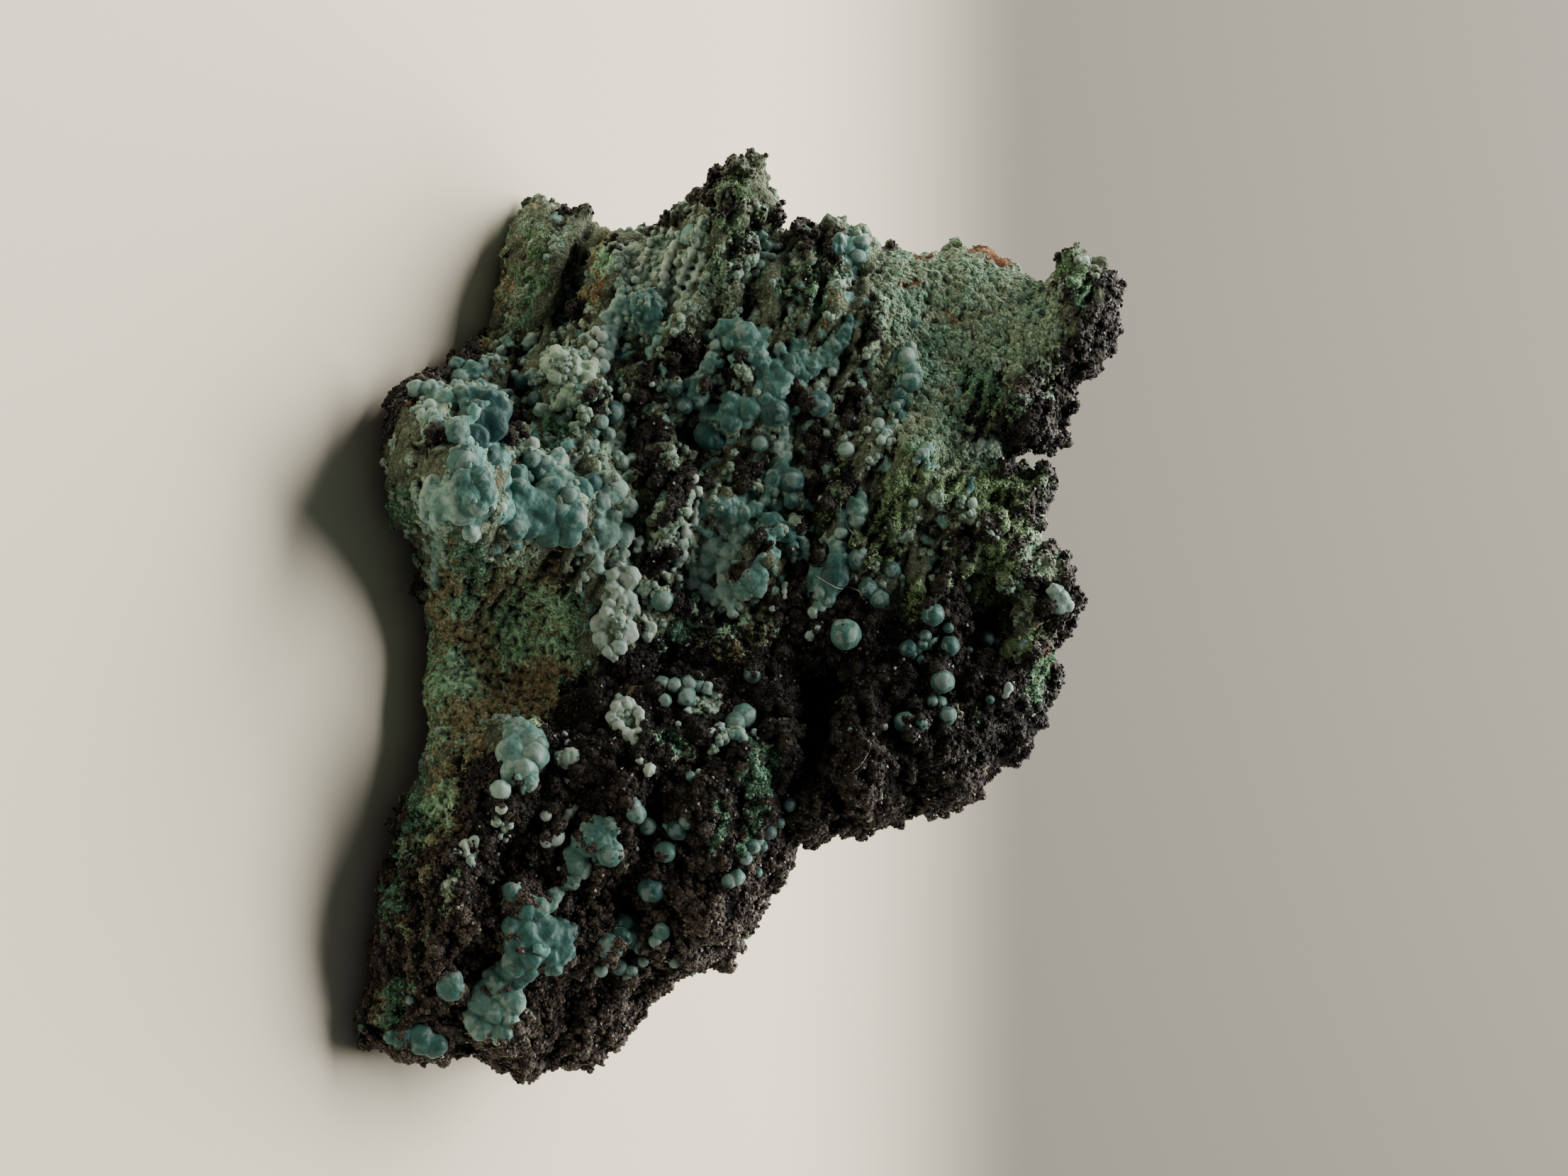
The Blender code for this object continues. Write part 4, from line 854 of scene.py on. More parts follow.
# The lobes (across, up, radius), by tone from deep to white
LOBES = {
    0.10: [(-21.8, 15, 1.7), (-20.2, 14.4, 1.8), (-22.4, 13.4, 1.9), (-20.6, 12.8, 1.8),
        (-18.8, 12.8, 1.5), (-17.4, 11.9, 1), (-23.2, 12.4, 1.3), (-17, 14.6, 1.1), (-23, 14.2, 1.2)],
    0.20: [(-5.6, 51.2, 1.4), (-4.2, 50.9, 1.5), (-3.2, 50.4, 1.2), (-15.6, 45.3, .9), (-21, 44.2, .8),
        (-9.5, 44.1, .9), (-13.2, 23.8, 1.5), (34, 21.8, 1.5), (33.2, 23, .7), (34, 28.2, 1.1),
        (-32.5, 31, .8), (-19.2, 37.4, 1.4), (-18.4, 38.2, .9), (-30.4, 39.2, 1.1), (-14.5, 46, 1.2)],
    0.40: [(-33.8, 31.9, .6), (-32.8, 32.1, .65), (-31.8, 32.2, .6), (-30.8, 32.1, .6), (-30, 31.7, .55),
        (-33.7, 30.9, .6), (-31.6, 31.2, .65), (-30.7, 30.9, .6), (-33.4, 29.9, .55), (-32.5, 29.9, .6),
        (-31.6, 30.1, .6), (-33, 29, .5), (-32.1, 29.1, .5), (-14.4, 13.4, 1.4), (-13, 13.6, 1.5),
        (-11.8, 12.9, 1.3), (45.3, 8.5, 1.4), (44.8, 7, 1.6), (44.6, 5.2, 1.3), (44.5, 4, .9),
        (34.3, 21, 1.6), (33.3, 20.2, 1.6), (35.8, 20.6, 1.5), (34.6, 18.9, 1.7), (33.3, 18, 1.5),
        (35.9, 18.6, 1.5), (34.6, 17.2, 1.4), (-30.2, 52, .9), (-28.8, 51, .9), (-27.8, 50, .9),
        (-27.2, 49, .9), (-26.2, 46.6, 1.2), (-25.2, 45.4, 1.4), (-24.2, 44.6, 1.4), (-23, 43.8, 1.1),
        (-21.4, 44.4, 1.4), (-27.6, 42.7, 1.3), (-28.6, 41.8, 1.1), (-24.6, 36.7, 1.3),
        (-23.5, 36.4, 1.3), (-11.9, 38.7, 1.25), (-8.9, 45.9, 1.2), (-9.8, 44.2, 1.3), (-12.2, 46.4, .9),
        (-21.9, 41.8, 1.3)],
    0.50: [(-26.6, 48.4, 1.2), (-25.8, 47.6, 1), (-29.8, 41.3, 1.5), (-29.2, 40.2, 1), (-21.9, 40.1, 1.3),
        (-22.9, 39.9, 1), (-20.6, 40, 1.2), (-4.4, 42.2, 1.7), (-3.2, 41.4, 1.3), (-8.6, 46, 1),
        (-9, 44.9, 1), (-14.5, 44.5, 1.1), (-13.4, 44.2, .9), (-11.3, 42.3, 1), (-10.9, 41.2, 1),
        (-10.8, 40.2, 1), (-27, 46.5, 1), (-25.5, 46, 1), (-26.4, 44.8, .9), (-25.2, 44.2, 1),
        (-23.9, 44, .9), (-27, 43.3, .9), (-28.4, 43, .9), (-26.5, 42.2, .6), (-31.6, 52.5, .5),
        (-30.6, 52.6, .5), (-29.8, 52.2, .6), (-29, 51.6, .7), (-29.5, 50.9, .6), (-39.7, 51.3, .9),
        (-38.9, 51, .8), (-24.3, 36.5, .9), (-23.6, 36.4, .9), (-25.2, 36.7, .6), (-34, 29.6, .5),
        (-34.3, 31.2, .5), (-23.5, 14.4, 1), (-24.2, 13.2, .9), (-23.4, 16.2, .8), (-14.4, 11.6, 1.3),
        (-25.9, 12.4, 1.2), (-26.6, 13.6, .7), (-25.2, 11.2, 1.1), (-24.3, 10.9, .8), (-27.1, 14.5, .5),
        (-13.2, 20.9, 1.7), (-11.6, 19.8, 2), (-10.2, 18.4, 2), (-12.2, 17.8, 1.8), (-13.6, 17.4, 1.3),
        (-9.2, 20.8, 1.8), (-8.8, 22.6, 1.5), (-10.4, 22.8, 1.9), (-11.4, 16.8, 1.4), (-9.4, 17, 1.4),
        (-15, 17.4, 1.1), (-15.4, 20.4, 1.6), (-16.4, 21.6, 1.2), (-14.2, 22.2, 1.3), (37, 21, 1.1),
        (35.4, 22, 1.4), (32.8, 16.9, 1.3), (36.6, 17.2, 1.6), (37.6, 18.4, 1.1), (38.2, 16.6, 1.4),
        (39.2, 15.2, 1.5), (38.4, 17.4, 1.1), (37.4, 15.8, 1), (39.2, 10.2, 1.5), (38.4, 10.6, .9),
        (23.1, 25.7, 2), (24, 24.4, 1.6), (22.4, 27, 1.2), (29.2, 16.8, 1.1), (30.2, 17.2, 1.4),
        (30.9, 18.2, 1.5), (31, 19.4, 1.3), (-17.2, 60.2, .7), (-16.6, 59.6, .5), (-31.2, 59.2, .7),
        (4, 59.2, .6), (-22.2, 57.3, .7)],
    0.66: [(12.9, 17.8, 1.9), (16.5, 17.3, 1.7), (14.4, 16.8, 1.7), (11.8, 17.4, 1.1), (17.4, 18.4, 1.2),
        (-11.2, 11.4, 1.6), (-13, 11.2, 1.7), (-27.3, 37.9, .9), (-26.4, 37.5, .9), (-26.8, 38.6, .7),
        (-7.8, 50.8, .8), (-2.8, 49.6, 1), (-1.6, 50.3, .8), (-1, 49.3, .7), (-11.6, 53.2, 1.2),
        (-10.4, 53.2, .9), (-12.5, 53.6, .8), (-7.6, 47.6, .7), (-6.3, 47.8, .6), (-5.7, 47.2, .6),
        (-8.3, 47.2, .5), (-12.3, 43.5, .7), (-5.3, 42.6, .9), (-4.6, 42.3, 1.2), (-3.3, 42.3, 1.4),
        (-2.7, 41.4, 1.1), (-6.2, 43.2, .6), (-2.4, 40.6, .6), (-8, 40.6, 1), (-9, 41.5, .9),
        (-28, 49.6, .7), (-28.7, 50.4, .7), (-27, 49.3, .7), (-26, 47.6, .7), (-27.6, 47.6, .6),
        (-28.3, 45, .7), (-24.3, 45.5, .9), (-22.8, 43.4, .6), (-27.6, 41.6, .7), (-31, 40.6, .7),
        (-30.8, 39.6, .7), (-30.4, 38.8, .7), (-29.8, 38.1, .6), (-40.3, 43.2, .6), (-39.2, 43.7, .6),
        (-38.1, 43.6, .6), (-37.2, 43, .6), (-36.3, 42.5, .5), (-39.2, 44.7, .5), (-38, 44.4, .4),
        (-18, 25.2, .8), (-19.3, 26.9, .8), (-11.6, 28.9, 1.1), (-8.8, 26.6, 1.6), (-10.6, 27.6, .9),
        (-23.6, 11.4, 1), (-22.6, 12, .9), (-12.6, 8.9, 1.3), (-11, 9.2, 1.3), (-24, 8.2, 1.1),
        (-24.1, 6.6, 1), (-22.7, 9.6, 1.3), (-21.2, 8.3, .9), (-20.4, 8.8, .9), (-7.8, 9.4, .9),
        (-6.6, 9, .9), (-5.4, 8.8, .8), (-4.2, 8.7, .7), (-3.2, 8.6, .5), (25.1, 27.1, 1.4),
        (26.6, 23.7, 1.4), (27.6, 23.2, 1), (25.2, 23.4, 1.2), (28.3, 22.8, .8), (29.6, 21.2, .9),
        (30.4, 20.6, 1), (40.8, 16.7, 1.5), (41.8, 15.1, 1.5), (41, 13.6, 1.6), (43.6, 13.6, 1.4),
        (44.2, 15.6, 1.2), (42.6, 12.7, 1.2), (42.8, 16.4, 1), (39.6, 13.6, 1.1), (38, 14.5, .9),
        (37.6, 9.8, .4), (12.7, 40.9, .8), (12.6, 39.9, .6), (13.4, 38.7, .5), (-25.5, 18.9, .8),
        (-26.8, 18, .6), (-21.8, 19.8, .9), (-1.6, 56.3, .5), (-6.6, 53.9, .6)],
    0.84: [(-33.6, 28.2, .7), (-32.6, 28, .9), (-31.3, 28.1, .9), (-30.2, 27.5, 1), (-31.5, 26.9, .9),
        (-29.9, 26.4, 1), (-28.7, 27, 1), (-27.6, 26.6, .9), (-26.4, 26.2, .8), (-29.6, 25.2, .8),
        (-29.4, 24.4, .7), (-34.6, 28.3, .5), (-7.2, 51.2, 1), (-.4, 48.6, .7), (1.4, 49, .6),
        (2.1, 48.3, .6), (-6.8, 39.8, 1.1), (-5.4, 39.3, 1.1), (-4, 39.3, 1), (-2.6, 39.2, .9),
        (-1.5, 39.8, .8), (-.3, 40.1, .7), (-7.3, 38, 1.2), (-6.2, 37.4, 1), (-4.7, 37.2, .9),
        (-3.4, 35.8, .8), (-2.7, 37.2, .8), (-4.7, 36, .7), (-1.8, 38.2, .8), (-12.2, 40.2, .7),
        (-19.8, 45.4, .6), (-18.8, 45.6, .6), (-18, 46, .5), (-17.9, 44.9, .7), (-16.8, 45.6, .8),
        (-33, 32.6, .5), (-30.2, 32.7, .5), (-37, 27.2, .4), (-28.6, 29.1, .5), (-28.2, 28.6, .4),
        (-13, 27.3, 1.8), (-8.7, 28.4, 1.3), (-7.6, 25.2, 1), (-11, 25.9, .8), (-9.7, 25.6, .9),
        (-6.2, 25.8, .8), (-5, 25.9, .6), (-16.6, 29.5, .7), (-16.2, 28.6, .8), (-17, 27.9, .7),
        (-15.9, 25.7, .6), (-17, 21.6, .9), (-16, 20.9, .8), (-15.2, 21.6, .6), (-8.9, 12.4, 1),
        (-13.8, 8.6, 1.2), (-12.4, 9.6, 1.6), (-11, 9.4, 1.4), (-9.8, 8.9, .9), (-12, 7.8, 1),
        (-10.6, 7.8, .9), (-9.2, 6.6, .4), (-9, 5.6, .4), (-22.2, 8, .8), (-21.2, 7.2, .7),
        (-24.6, 9, .5), (-29.2, 18.7, .8), (-28.6, 18.2, .7), (-28.1, 15.6, .6), (-27.2, 15, .5),
        (-25.8, 15.6, .4), (-1.2, 75.4, .8), (-2.6, 74.2, .9), (-18.1, 67.2, .5), (-18.4, 66.4, .6),
        (-19.4, 56.4, .6), (-18.6, 55.7, .6), (-20.6, 57.2, .4), (29.2, 20.7, .4), (-25.8, 59.4, .9),
        (-28.4, 58.9, .7), (7.6, 69.3, .6), (8.4, 68.9, .4), (-9.4, 66.8, .4), (-8.9, 67.4, .5),
        (-8.4, 68, .4), (-9.7, 66.2, .4), (12.2, 42.3, .4), (13, 42.8, .3), (11.7, 38.7, .6),
        (12.3, 37.9, .5), (12.6, 37.2, .4), (7.6, 37.4, .7), (8.4, 38.2, .4), (9.5, 36.8, .4),
        (10, 35.3, .5), (-12, 65.4, .6), (-10.8, 65.2, .4)],
    1.25: [(-26.3, 25, .9), (-25.3, 24.8, .9), (-24.6, 24.4, .5), (-27, 23.4, .7), (-26, 23.5, .7),
        (-27.4, 21.8, 1), (-26.6, 20.9, 1.1), (-25.4, 21.4, .9), (-28.2, 21.3, .6), (-24.2, 22.9, .7),
        (-23.2, 22.5, 1), (-22.8, 23.6, .6), (-21.6, 24.8, .6), (-20.7, 24.2, .5), (-20.2, 23.2, .6),
        (-22.2, 21.6, .6), (-19.4, 23.4, .4)],
    1.00: [(-41.6, 36.8, .5), (-40.6, 36.4, .6), (-39.6, 36.2, .6), (-38.6, 35.8, .6), (-37.6, 35.3, .7),
        (-36.6, 35, .6), (-35.6, 34.6, .6), (-34.6, 34.2, .5), (-38.2, 37, .5), (-37, 36.6, .5),
        (-36, 36.2, .6), (-35, 35.6, .5), (-34, 35, .5), (-33, 34.4, .6), (-40.4, 34.4, .5),
        (-39.2, 34, .6), (-38, 33.4, .7), (-37, 33, .6), (-36, 32.8, .6), (-35, 32.6, .5),
        (-39.6, 31.4, .5), (-38.6, 31, .5), (-37.6, 30.6, .6), (-36.6, 30.2, .5), (-35.6, 29.8, .5),
        (-38.8, 29.4, .4), (-37.8, 28.8, .5), (-36.6, 28.6, .4), (-4, 29.3, 1.2), (-4.6, 28.8, .8),
        (-8, 30.2, .6), (-7, 30, .5), (-6.6, 28.6, .6), (-5.6, 28.2, .6), (-4.4, 27.4, .8),
        (-3.2, 27.3, .8), (-2.3, 27.9, .9), (-1.6, 28.9, 1.1), (-.9, 29.3, 1), (-1.2, 27, .8),
        (1.6, 28.7, 1.4), (3.2, 28, 1), (0, 26.8, 1), (.8, 26, 1.1), (2.3, 26.3, 1), (3.7, 27.2, .9),
        (4.4, 27.6, .5), (-12.4, 26.6, 1.2), (1.1, 31.4, .7), (2, 31, .6), (.2, 30.6, .5),
        (-14.5, 36, .5), (-13.3, 36.4, .6), (-12, 36.3, .4), (-11, 36.1, .5), (-9.9, 36.1, .5),
        (-9.7, 35, .5), (-8.7, 35.1, .6), (-7.6, 34.8, .7), (-6.5, 34.7, .7), (-5.5, 34.4, .5),
        (-4.9, 33.8, .4), (-8.8, 33.5, .5), (-7.9, 32.8, .5), (-7.2, 32.2, .5), (-6, 33.4, .4),
        (9.2, 28.9, .8), (9.7, 27.9, .8), (10.6, 27.5, .8), (11.6, 28, .7), (12.6, 29, .8),
        (13.2, 29.8, .5), (12.2, 30.2, .5), (11.1, 30.3, .6), (10.1, 30.1, .6), (14.3, 30.4, .4),
        (15.3, 30.2, .5), (16.2, 31.2, .8), (-6, 24.5, .35), (-5.2, 24.6, .35), (-4.4, 24.3, .4),
        (-3.6, 24, .4), (-2.8, 23.8, .35), (15, 23, 1.1), (14.9, 21.8, .8), (15.9, 22.4, .5),
        (13.4, 22.6, .4), (12.5, 22.2, .4), (-3.4, 45.6, .4), (-2.6, 45.5, .4), (-2, 45.6, .4),
        (-.9, 44.3, .4), (1.2, 43.7, .4), (2, 43.6, .3), (23.8, 12.9, .6), (24.2, 11.6, .6),
        (25.2, 12, .5), (26.1, 12.6, .4), (20.8, 22.8, .6), (20.2, 23.4, .4), (21.4, 22.4, .5),
        (17.4, 22.6, .5), (4.9, 25, .35)],
}
LOBE_LIST = np.array([(a, u, radius, tone) for tone, spots in LOBES.items() for a, u, radius in spots])
noise.seed_set(4)                 # noise_vector is otherwise different each time


def lobes_on_rock():
    """The lobes as balls to fuse, and a tree of their middles."""
    levels = np.array([level_round(a, u, radius) for a, u, radius, _ in LOBE_LIST])
    lobes, middles = [], KDTree(len(LOBE_LIST))
    for row, (a, u, radius, tone) in enumerate(LOBE_LIST):
        # a sheet lies more evenly than the rock below it
        near = np.hypot(LOBE_LIST[:, 0] - a, LOBE_LIST[:, 1] - u) < SHEET_REACH
        near &= np.abs(levels - levels[row]) < SHEET_STEP
        level = 0.4 * levels[row] + 0.6 * levels[near].mean()
        middle = in_space(a, u, level + LOBE_RISE * radius)
        middles.insert(middle, row)
        lobes.append((middle, radius * LOBE_SPREAD, tone, 3, min(1.0, (0.45 + 0.3 * radius) / radius)))
    middles.balance()
    return lobes, middles


def grapes_at(spot):
    """How far the crust swells here, in millimetres: small lobes with finer ones on them."""
    bent = spot + 0.35 * noise.noise_vector(spot / 0.9)
    cell, fine = noise.voronoi(bent / GRAPE_SIZE)[0], noise.voronoi(bent / FINE_GRAPE_SIZE)[0]
    grapes = GRAPE_HEIGHT * min(1.0, 3 * (cell[1] - cell[0]))
    grapes += FINE_GRAPE_HEIGHT * min(1.0, 2 * (fine[1] - fine[0]))
    return grapes - GRAPES_SUNK + 0.12 * noise.noise(spot / 0.8)


lobes, middles = lobes_on_rock()
crust = fused(new_piece("rosasite_crust", balls_mesh("rosasite_crust", lobes, LOBE_LUMPINESS)),
              CRUST_GRAIN, 6)
places = points_of(crust.data)
tone_here, swell = np.empty(len(places)), np.empty(len(places))
for row, place in enumerate(places):
    near = middles.find_n(place, 4)
    reach = sorted(distance / LOBE_LIST[i, 2] for _, i, distance in near)
    crease = 1 - min(1.0, (reach[1] - reach[0]) / CREASE_WIDTH)
    weights = [1 / (distance + 0.1 * MM) ** 2 for _, _, distance in near]
    tone_here[row] = sum(w * LOBE_LIST[i, 3] for w, (_, i, _) in zip(weights, near)) / sum(weights)
    # small lobes are lobed again; the deep velvety sheets hardly show where theirs meet
    swell[row] = grapes_at(Vector(place) / MM) * min(1.0, max(0.25, 1.9 - LOBE_LIST[near[0][1], 2]))
    swell[row] -= crease * min(0.12, max(0.03, 0.35 * tone_here[row] - 0.04))
move_points(crust.data, places + normals_of(crust.data) * (swell * MM)[:, None])
crust.data.shade_smooth()
store(crust.data, "tone", tone_here)
# crown: how far each point stands out; it sets the dust, and the valleys get painted shade from it
store(crust.data, "crown", np.clip(0.45 + 2.2 * standing_out(crust.data, 16), 0, 1))
coat(crust, rosasite_velvet)
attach(crust, "root")


# ------------------------------------------------------------------------------------
# Plattnerite: lead dioxide, in sparkling black crystals a few tenths of a millimetre
# long that cover the knobs of the rock. Each is square and pointed at both ends, with
# one end buried, scattered over the black parts of the skin by how much of it there is.
def crystal_shape(name, sides, waist, tip, width=1.0, depth=0.45):
    """A little crystal pointed at both ends, standing upright with its waist at a height."""
    turns = [math.tau * k / sides for k in range(sides)]
    corners = [(0.5 * math.cos(turn), 0.5 * width * math.sin(turn), waist) for turn in turns]
    corners += [(0, 0, tip), (0, 0, -depth)]
    faces = []
    for k in range(sides):
        after = (k + 1) % sides
        faces += [(k, after, sides), (after, k, sides + 1)]
    return new_piece(name, mesh_from(name, np.array(corners), np.array(faces)))


def scatter_tree():
    """Stands crystals all over a skin, as thickly as one of its attributes says."""
    tree = bpy.data.node_groups.new("crystals_on_skin", "GeometryNodeTree")
    for name, kind in (("Skin", "Geometry"), ("Crystal", "Object"), ("Most Per Square Metre", "Float"),
                       ("Smallest", "Float"), ("Largest", "Float"), ("Lean", "Float"),
                       ("Combed", "Float"), ("Along", "Vector"), ("Seed", "Int"),
                       ("Finish", "Material")):
        tree.interface.new_socket(name, in_out="INPUT", socket_type="NodeSocket" + kind)
    tree.interface.new_socket("Crystals", in_out="OUTPUT", socket_type="NodeSocketGeometry")
    given = add_node(tree, "NodeGroupInput").outputs
    share = add_node(tree, "GeometryNodeInputNamedAttribute", {"Name": "share"}, data_type="FLOAT")
    density = add_node(tree, "ShaderNodeMath", {0: share, 1: given["Most Per Square Metre"]},
                       operation="MULTIPLY")
    spread = add_node(tree, "GeometryNodeDistributePointsOnFaces", {
        "Mesh": given["Skin"], "Density": density, "Seed": given["Seed"]}, distribute_method="RANDOM")
    lean = add_node(tree, "FunctionNodeRandomValue", {
        0: (-1, -1, -3.1416), 1: (1, 1, 3.1416), "Seed": given["Seed"]}, data_type="FLOAT_VECTOR")
    free = add_node(tree, "ShaderNodeMath", {0: 1.1, 1: given["Combed"]}, operation="SUBTRACT")
    by = add_node(tree, "ShaderNodeCombineXYZ", {0: given["Lean"], 1: given["Lean"], 2: free})
    leaning = add_node(tree, "ShaderNodeVectorMath", {0: lean, 1: by}, operation="MULTIPLY")
    combed = add_node(tree, "FunctionNodeAlignRotationToVector", {
        "Rotation": spread.outputs["Rotation"], "Factor": given["Combed"], "Vector": given["Along"]},
        axis="X", pivot_axis="Z")
    turned = add_node(tree, "FunctionNodeRotateRotation", {0: combed, 1: leaning},
                      rotation_space="LOCAL")
    size = add_node(tree, "FunctionNodeRandomValue", {
        2: given["Smallest"], 3: given["Largest"], "Seed": given["Seed"]}, data_type="FLOAT")
    crystal = add_node(tree, "GeometryNodeObjectInfo", {"Object": given["Crystal"]})
    stood = add_node(tree, "GeometryNodeInstanceOnPoints", {
        "Points": spread, "Instance": crystal.outputs["Geometry"],
        "Rotation": turned, "Scale": size.outputs[1]})
    tint = add_node(tree, "FunctionNodeRandomValue", {
        2: 0.0, 3: 1.0, "Seed": given["Seed"]}, data_type="FLOAT")
    tinted = add_node(tree, "GeometryNodeStoreNamedAttribute", {
        "Geometry": stood, "Name": "tint", "Value": tint.outputs[1]},
        data_type="FLOAT", domain="INSTANCE")
    real = add_node(tree, "GeometryNodeRealizeInstances", {0: tinted})
    finish = add_node(tree, "GeometryNodeSetMaterial", {"Geometry": real, "Material": given["Finish"]})
    add_node(tree, "NodeGroupOutput", {0: finish})
    return tree


crystals_on_skin = scatter_tree()


def grown(name, crystal, finish, share, per_mm2, sizes, lean, seed, **combing):
    """Grows crystals, sized in millimetres, over the rock's skin as one plain mesh."""
    skin = rock.data.copy()
    store(skin, "share", share)
    piece = new_piece(name, skin)
    grower = piece.modifiers.new("grow", "NODES")
    grower.node_group = crystals_on_skin
    sockets = {item.name: item.identifier for item in crystals_on_skin.interface.items_tree
               if item.in_out == "INPUT"}
    for key, value in {"Crystal": crystal, "Most Per Square Metre": per_mm2 * 1e6,
                       "Smallest": sizes[0] * MM, "Largest": sizes[1] * MM, "Lean": lean,
                       "Seed": seed, "Finish": finish, **combing}.items():
        grower[sockets[key]] = value
    piece = finished(piece)
    bpy.data.objects.remove(crystal)
    for left in [a.name for a in piece.data.attributes if a.name in ("ore", "film", "behind", "share")]:
        piece.data.attributes.remove(piece.data.attributes[left])
    return piece


def lead_oxide():
    """Plattnerite: black with a red-brown cast and a bright, nearly metallic lustre."""
    made, tree, place = new_material("submetallic_plattnerite")
    tint = add_node(tree, "ShaderNodeAttribute", attribute_name="tint").outputs["Fac"]
    dusty = two_tones(tree, dust_lies(tree, place), "#231e1a", "#564b42")
    # only some crystals have clean faces that glint
    rough = add_node(tree, "ShaderNodeMapRange", {
        "Value": tint, "From Min": 0.72, "From Max": 0.95, "To Min": 0.55, "To Max": 0.12})
    return shaded(made, {"Base Color": two_tones(tree, tint, "#080706", dusty),
                         "Roughness": rough, "Specular IOR Level": 0.3})


def kept(name):
    """The four numbers kept at each point of the finished rock under this name."""
    values = np.empty(len(rock.data.vertices) * 4, np.float32)
    rock.data.attributes[name].data.foreach_get("color", values)
    return values.reshape(-1, 4).astype(float).T


black, malachite, altered, gossan = kept("ore")
pale, teal, limonite, ridge = kept("film")
in_front = facing_out(rock.data) > -0.1
bare = 1 - soft_step(np.maximum(pale, teal), 0.3, 0.5)
druse = grown("plattnerite_druse", crystal_shape("plattnerite_crystal", 4, 0.15, 0.6), lead_oxide(),
              soft_step(black, 0.4, 0.6) * bare * np.where(in_front, 1, 0.25),
              3.0, (0.25, 0.62), lean=0.7, seed=3)
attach(druse, "root")


def knob_shape(name):
    """A low round knob of a few dozen flat faces, as a bunch of crystals ends."""
    corners, faces = UNIT_BALLS[1]
    return new_piece(name, mesh_from(name, corners * (0.5, 0.5, 0.42), faces))


def dusty_knobs():
    """Bunches of plattnerite crystals, black, with a brown dust that lies thicker towards the right."""
    made, tree, place = new_material("dusty_plattnerite")
    tint = add_node(tree, "ShaderNodeAttribute", attribute_name="tint").outputs["Fac"]
    grit = noise_at(tree, place, 0.22, 0.35, 0.65)
    dusty = two_tones(tree, dust_lies(tree, place), "#302a24", "#827467")
    return shaded(made, {
        "Base Color": two_tones(tree, grit, "#070605", two_tones(tree, tint, "#0b0908", dusty)),
        "Roughness": 0.45, "Specular IOR Level": 0.25,
        "Normal": add_node(tree, "ShaderNodeBump", {
            "Height": grit, "Strength": 0.9, "Distance": 0.12 * MM})})


knobs_outside = grown("plattnerite_knobs", knob_shape("plattnerite_knob"), dusty_knobs(),
                      soft_step(black, 0.5, 0.8) * bare * in_front * soft_step(ridge, 0.25, 0.5),
                      0.9, (0.35, 1.0), lean=1.0, seed=12)
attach(knobs_outside, "root")


# ------------------------------------------------------------------------------------
# Malachite and grit: green crusts of tiny blunt crystals, and grains of the iron oxide
# they grew on, stuck all over the green, brown and ribbed parts of the rock.
def green_grit():
    """Malachite grains from pale lime to bottle green, dull and waxy."""
    made, tree, place = new_material("granular_malachite")
    tint = add_node(tree, "ShaderNodeAttribute", attribute_name="tint").outputs["Fac"]
    emerald = two_tones(tree, tint, "#264638", "#74a083")
    lime = two_tones(tree, tint, "#273824", "#7c9869")
    return shaded(made, {
        "Base Color": two_tones(tree, lime_share(tree, place), emerald, lime), "Roughness": 0.7})


def iron_grit():
    """Grains of gossan: rust brown to grey-green, dull."""
    made, tree, _ = new_material("granular_iron_oxide")
    tint = add_node(tree, "ShaderNodeAttribute", attribute_name="tint").outputs["Fac"]
    return shaded(made, {"Base Color": two_tones(tree, tint, "#4a4231", "#879f80"), "Roughness": 0.85})


green = grown("malachite_grains", crystal_shape("malachite_grain", 3, 0.05, 0.4), green_grit(),
              soft_step(malachite, 0.4, 0.6) * bare * (malachite > gossan) * in_front,
              8.0, (0.2, 0.55), lean=1.2, seed=5)
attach(green, "root")

grit = grown("matrix_grains", crystal_shape("matrix_grain", 3, 0.05, 0.4), iron_grit(),
             soft_step(gossan, 0.4, 0.6) * bare * np.where(in_front, 1, 0.3),
             2.6, (0.2, 0.55), lean=1.2, seed=8)
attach(grit, "root")


def scaly_rock():
    """Altered rock that has split into fine scales: mint green to buff, dusty."""
    made, tree, place = new_material("scaly_altered_rock")
    tint = add_node(tree, "ShaderNodeAttribute", attribute_name="tint").outputs["Fac"]
    cloud = noise_at(tree, place, 3.0, 0.38, 0.62, 4.0)
    grain = noise_at(tree, place, 0.25, 0.35, 0.65)
    colour = two_tones(tree, tint, two_tones(tree, cloud, "#537f6a", "#6b735a"),
                       two_tones(tree, cloud, "#97c8b0", "#b3b9a0"))
    return shaded(made, {"Base Color": two_tones(tree, grain, "#5f7358", colour), "Roughness": 0.8})


scale_share = soft_step(altered, 0.45, 0.7) * bare * (altered > malachite) * (limonite < 0.5) * in_front
scales = grown("altered_scales", crystal_shape("rock_scale", 6, 0.04, 0.16, 0.5, 0.2), scaly_rock(),
               scale_share, 9.0, (0.3, 0.85), lean=0.5, seed=15,
               Combed=0.85, Along=(0.7, 0.3, 0.6))
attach(scales, "root")


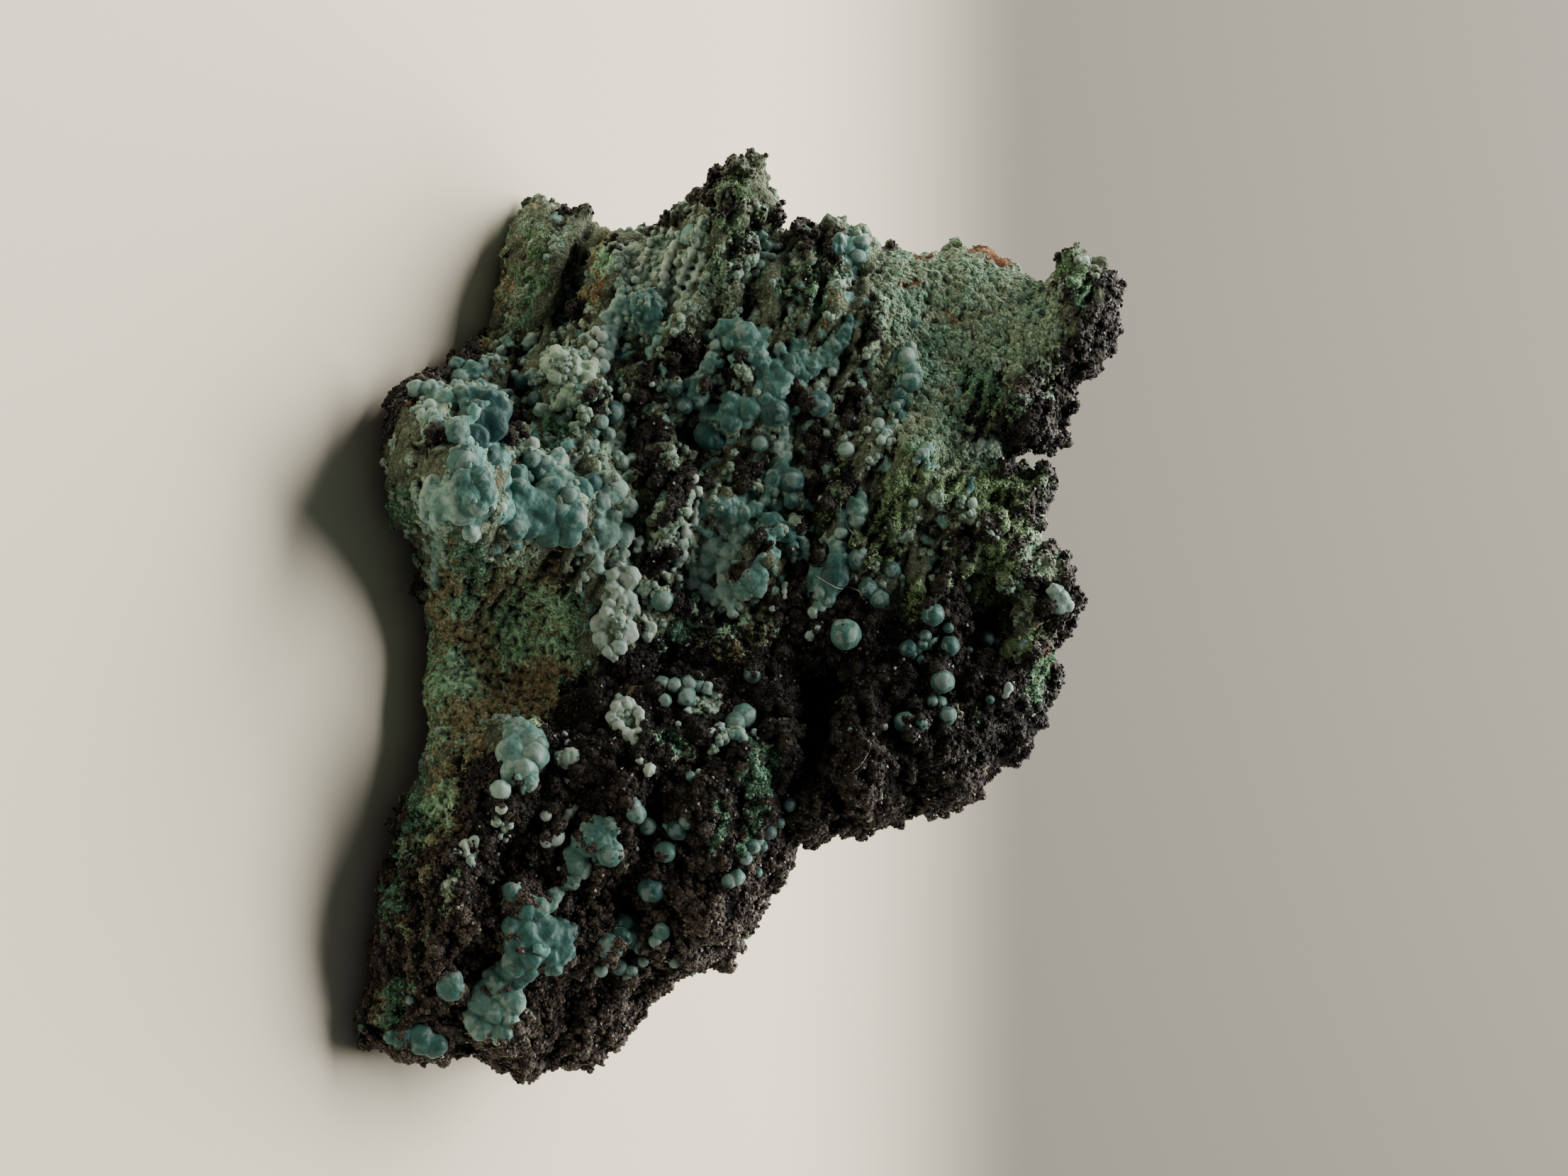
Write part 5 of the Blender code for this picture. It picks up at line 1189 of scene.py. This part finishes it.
# ------------------------------------------------------------------------------------
# Beads of pale rosasite, about a millimetre or less: they grew singly and in strings
# over the rock between the larger lobes, wherever its skin is whitened.
def pale_beads():
    """Rosasite beads, buff white to mint, dull, with a fine pitting."""
    made, tree, place = new_material("beaded_pale_rosasite")
    tint = add_node(tree, "ShaderNodeAttribute", attribute_name="tint").outputs["Fac"]
    grain = noise_at(tree, place, 0.25, 0.35, 0.65)
    cloud = noise_at(tree, place, 3.0, 0.38, 0.62)
    colour = two_tones(tree, tint, two_tones(tree, cloud, "#6f8a78", "#6a9188"),
                       two_tones(tree, cloud, "#aebca6", "#a2bdb0"))
    return shaded(made, {
        "Base Color": two_tones(tree, grain, "#5c7769", colour),
        "Roughness": 0.6, "Specular IOR Level": 0.3,
        "Normal": add_node(tree, "ShaderNodeBump", {
            "Height": grain, "Strength": 0.5, "Distance": 0.08 * MM})})


beads = grown("rosasite_beads", knob_shape("rosasite_bead"), pale_beads(),
              soft_step(pale, 0.26, 0.5) * in_front * soft_step(ridge, 0.3, 0.5),
              1.8, (0.4, 1.15), lean=0.5, seed=21)
beads.data.shade_smooth()
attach(beads, "root")


# ------------------------------------------------------------------------------------
# Lint: a few fibres from a cloth that caught on the crystals, each less than a tenth of
# a millimetre thick. They lie across what stands out and sag a little between.
LINT_RADIUS = 0.035 * MM
LINT_ABOVE = 0.12 * MM            # how far a fibre lies above what it rests on
LINT_STEPS = 4                    # places felt for between one listed place and the next
LINT = [
    [(-1.8, 54), (-2.7, 53.4), (-3.1, 52.4), (-2.9, 51.6), (-3.0, 51.1), (-3.6, 50), (-4.4, 48.8)],
    [(-8.3, 53.2), (-9.4, 52.3), (-10.6, 51.9)],
    [(13.4, 54.7), (14.3, 54.5), (15.2, 54), (16, 53.4), (16.5, 52.7), (16.9, 51.9)],
]


def cotton():
    """Cotton lint: undyed white fibres, dull."""
    made, tree, place = new_material("cotton_lint")
    shade = two_tones(tree, noise_at(tree, place, 0.8), "#9fa09a", "#d8d5ca")
    return shaded(made, {"Base Color": shade, "Roughness": 0.6})


dressed = [touchable(piece) for piece in (rock, balls, crust)]
fibres = bpy.data.curves.new("lint", "CURVE")
fibres.dimensions = "3D"
fibres.bevel_depth, fibres.bevel_resolution, fibres.use_fill_caps = LINT_RADIUS, 1, True
for places in LINT:
    run = []
    for step in range(LINT_STEPS * (len(places) - 1) + 1):
        first = min(step // LINT_STEPS, len(places) - 2)
        share = step / LINT_STEPS - first
        a, u = [places[first][k] * (1 - share) + places[first + 1][k] * share for k in (0, 1)]
        heading = (in_space(a, u, 0) - eye).normalized()
        hits = [hit for hit in (skin.ray_cast(eye, heading)[0] for skin in dressed) if hit]
        reach = min((hit - eye).length for hit in hits)
        run.append(eye + heading * (reach - LINT_ABOVE))
    spline = fibres.splines.new("BEZIER")
    spline.bezier_points.add((len(run) - 1) // 2)
    for knot, spot in zip(spline.bezier_points, run[::2]):
        knot.co, knot.handle_left_type, knot.handle_right_type = spot, "AUTO", "AUTO"
lint_curve = new_piece("lint_curve", fibres)
lint = new_piece("lint", bpy.data.meshes.new_from_object(
    lint_curve.evaluated_get(bpy.context.evaluated_depsgraph_get())))
bpy.data.objects.remove(lint_curve)
coat(lint, cotton())
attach(lint, "root")


# ------------------------------------------------------------------------------------
# The floor is a large sheet of photographer's card, pale in front, and painted shade
# turns it grey behind. One big soft lamp hangs above and a little behind the rock, so that
# its face is in soft shade and its shadow falls forwards; a weak fill comes from all round.
CARD_EDGE = 1.5                   # half the card's width
PAINTED_SHADE_FROM, PAINTED_SHADE_TO = 0.045, 0.11   # where painted shade turns the card grey, behind the middle
corners = CARD_EDGE * np.array([(-1, -1, 0), (1, -1, 0), (1, 1, 0), (-1, 1, 0)])
floor = new_piece("floor", mesh_from("floor", corners, np.array([(0, 1, 2, 3)])))


def painted_shade_card():
    """Matt white card, with painted shade that turns it grey beyond the rock."""
    made, tree, place = new_material("card_with_painted_shade")
    behind = add_node(tree, "ShaderNodeSeparateXYZ", {0: place}).outputs[1]
    share = add_node(tree, "ShaderNodeMapRange", {
        "Value": behind, "From Min": PAINTED_SHADE_FROM, "From Max": PAINTED_SHADE_TO},
        interpolation_type="SMOOTHSTEP")
    return shaded(made, {"Base Color": two_tones(tree, share, "#dedac7", "#67655e"),
                         "Roughness": 0.9, "Specular IOR Level": 0.1})


coat(floor, painted_shade_card())

LAMP_PLACE, LAMP_AIM = Vector((-0.18, 0.49, 0.46)), Vector((0, 0, 0.02))
lamp_data = bpy.data.lights.new("overhead_softbox", "AREA")
lamp_data.shape, lamp_data.size = "DISK", 1.0
lamp_data.energy, lamp_data.color = 29.0, linear("#fffaf2")[:3]
lamp = new_piece("overhead_softbox", lamp_data)
lamp.location = LAMP_PLACE
lamp.rotation_euler = (LAMP_AIM - LAMP_PLACE).to_track_quat("-Z", "Y").to_euler()
world = bpy.data.worlds.new("studio")
bpy.context.scene.world = world
world.use_nodes = True
feed(world.node_tree, world.node_tree.nodes["Background"],
     {"Color": linear("#f4f6f8"), "Strength": 0.09})
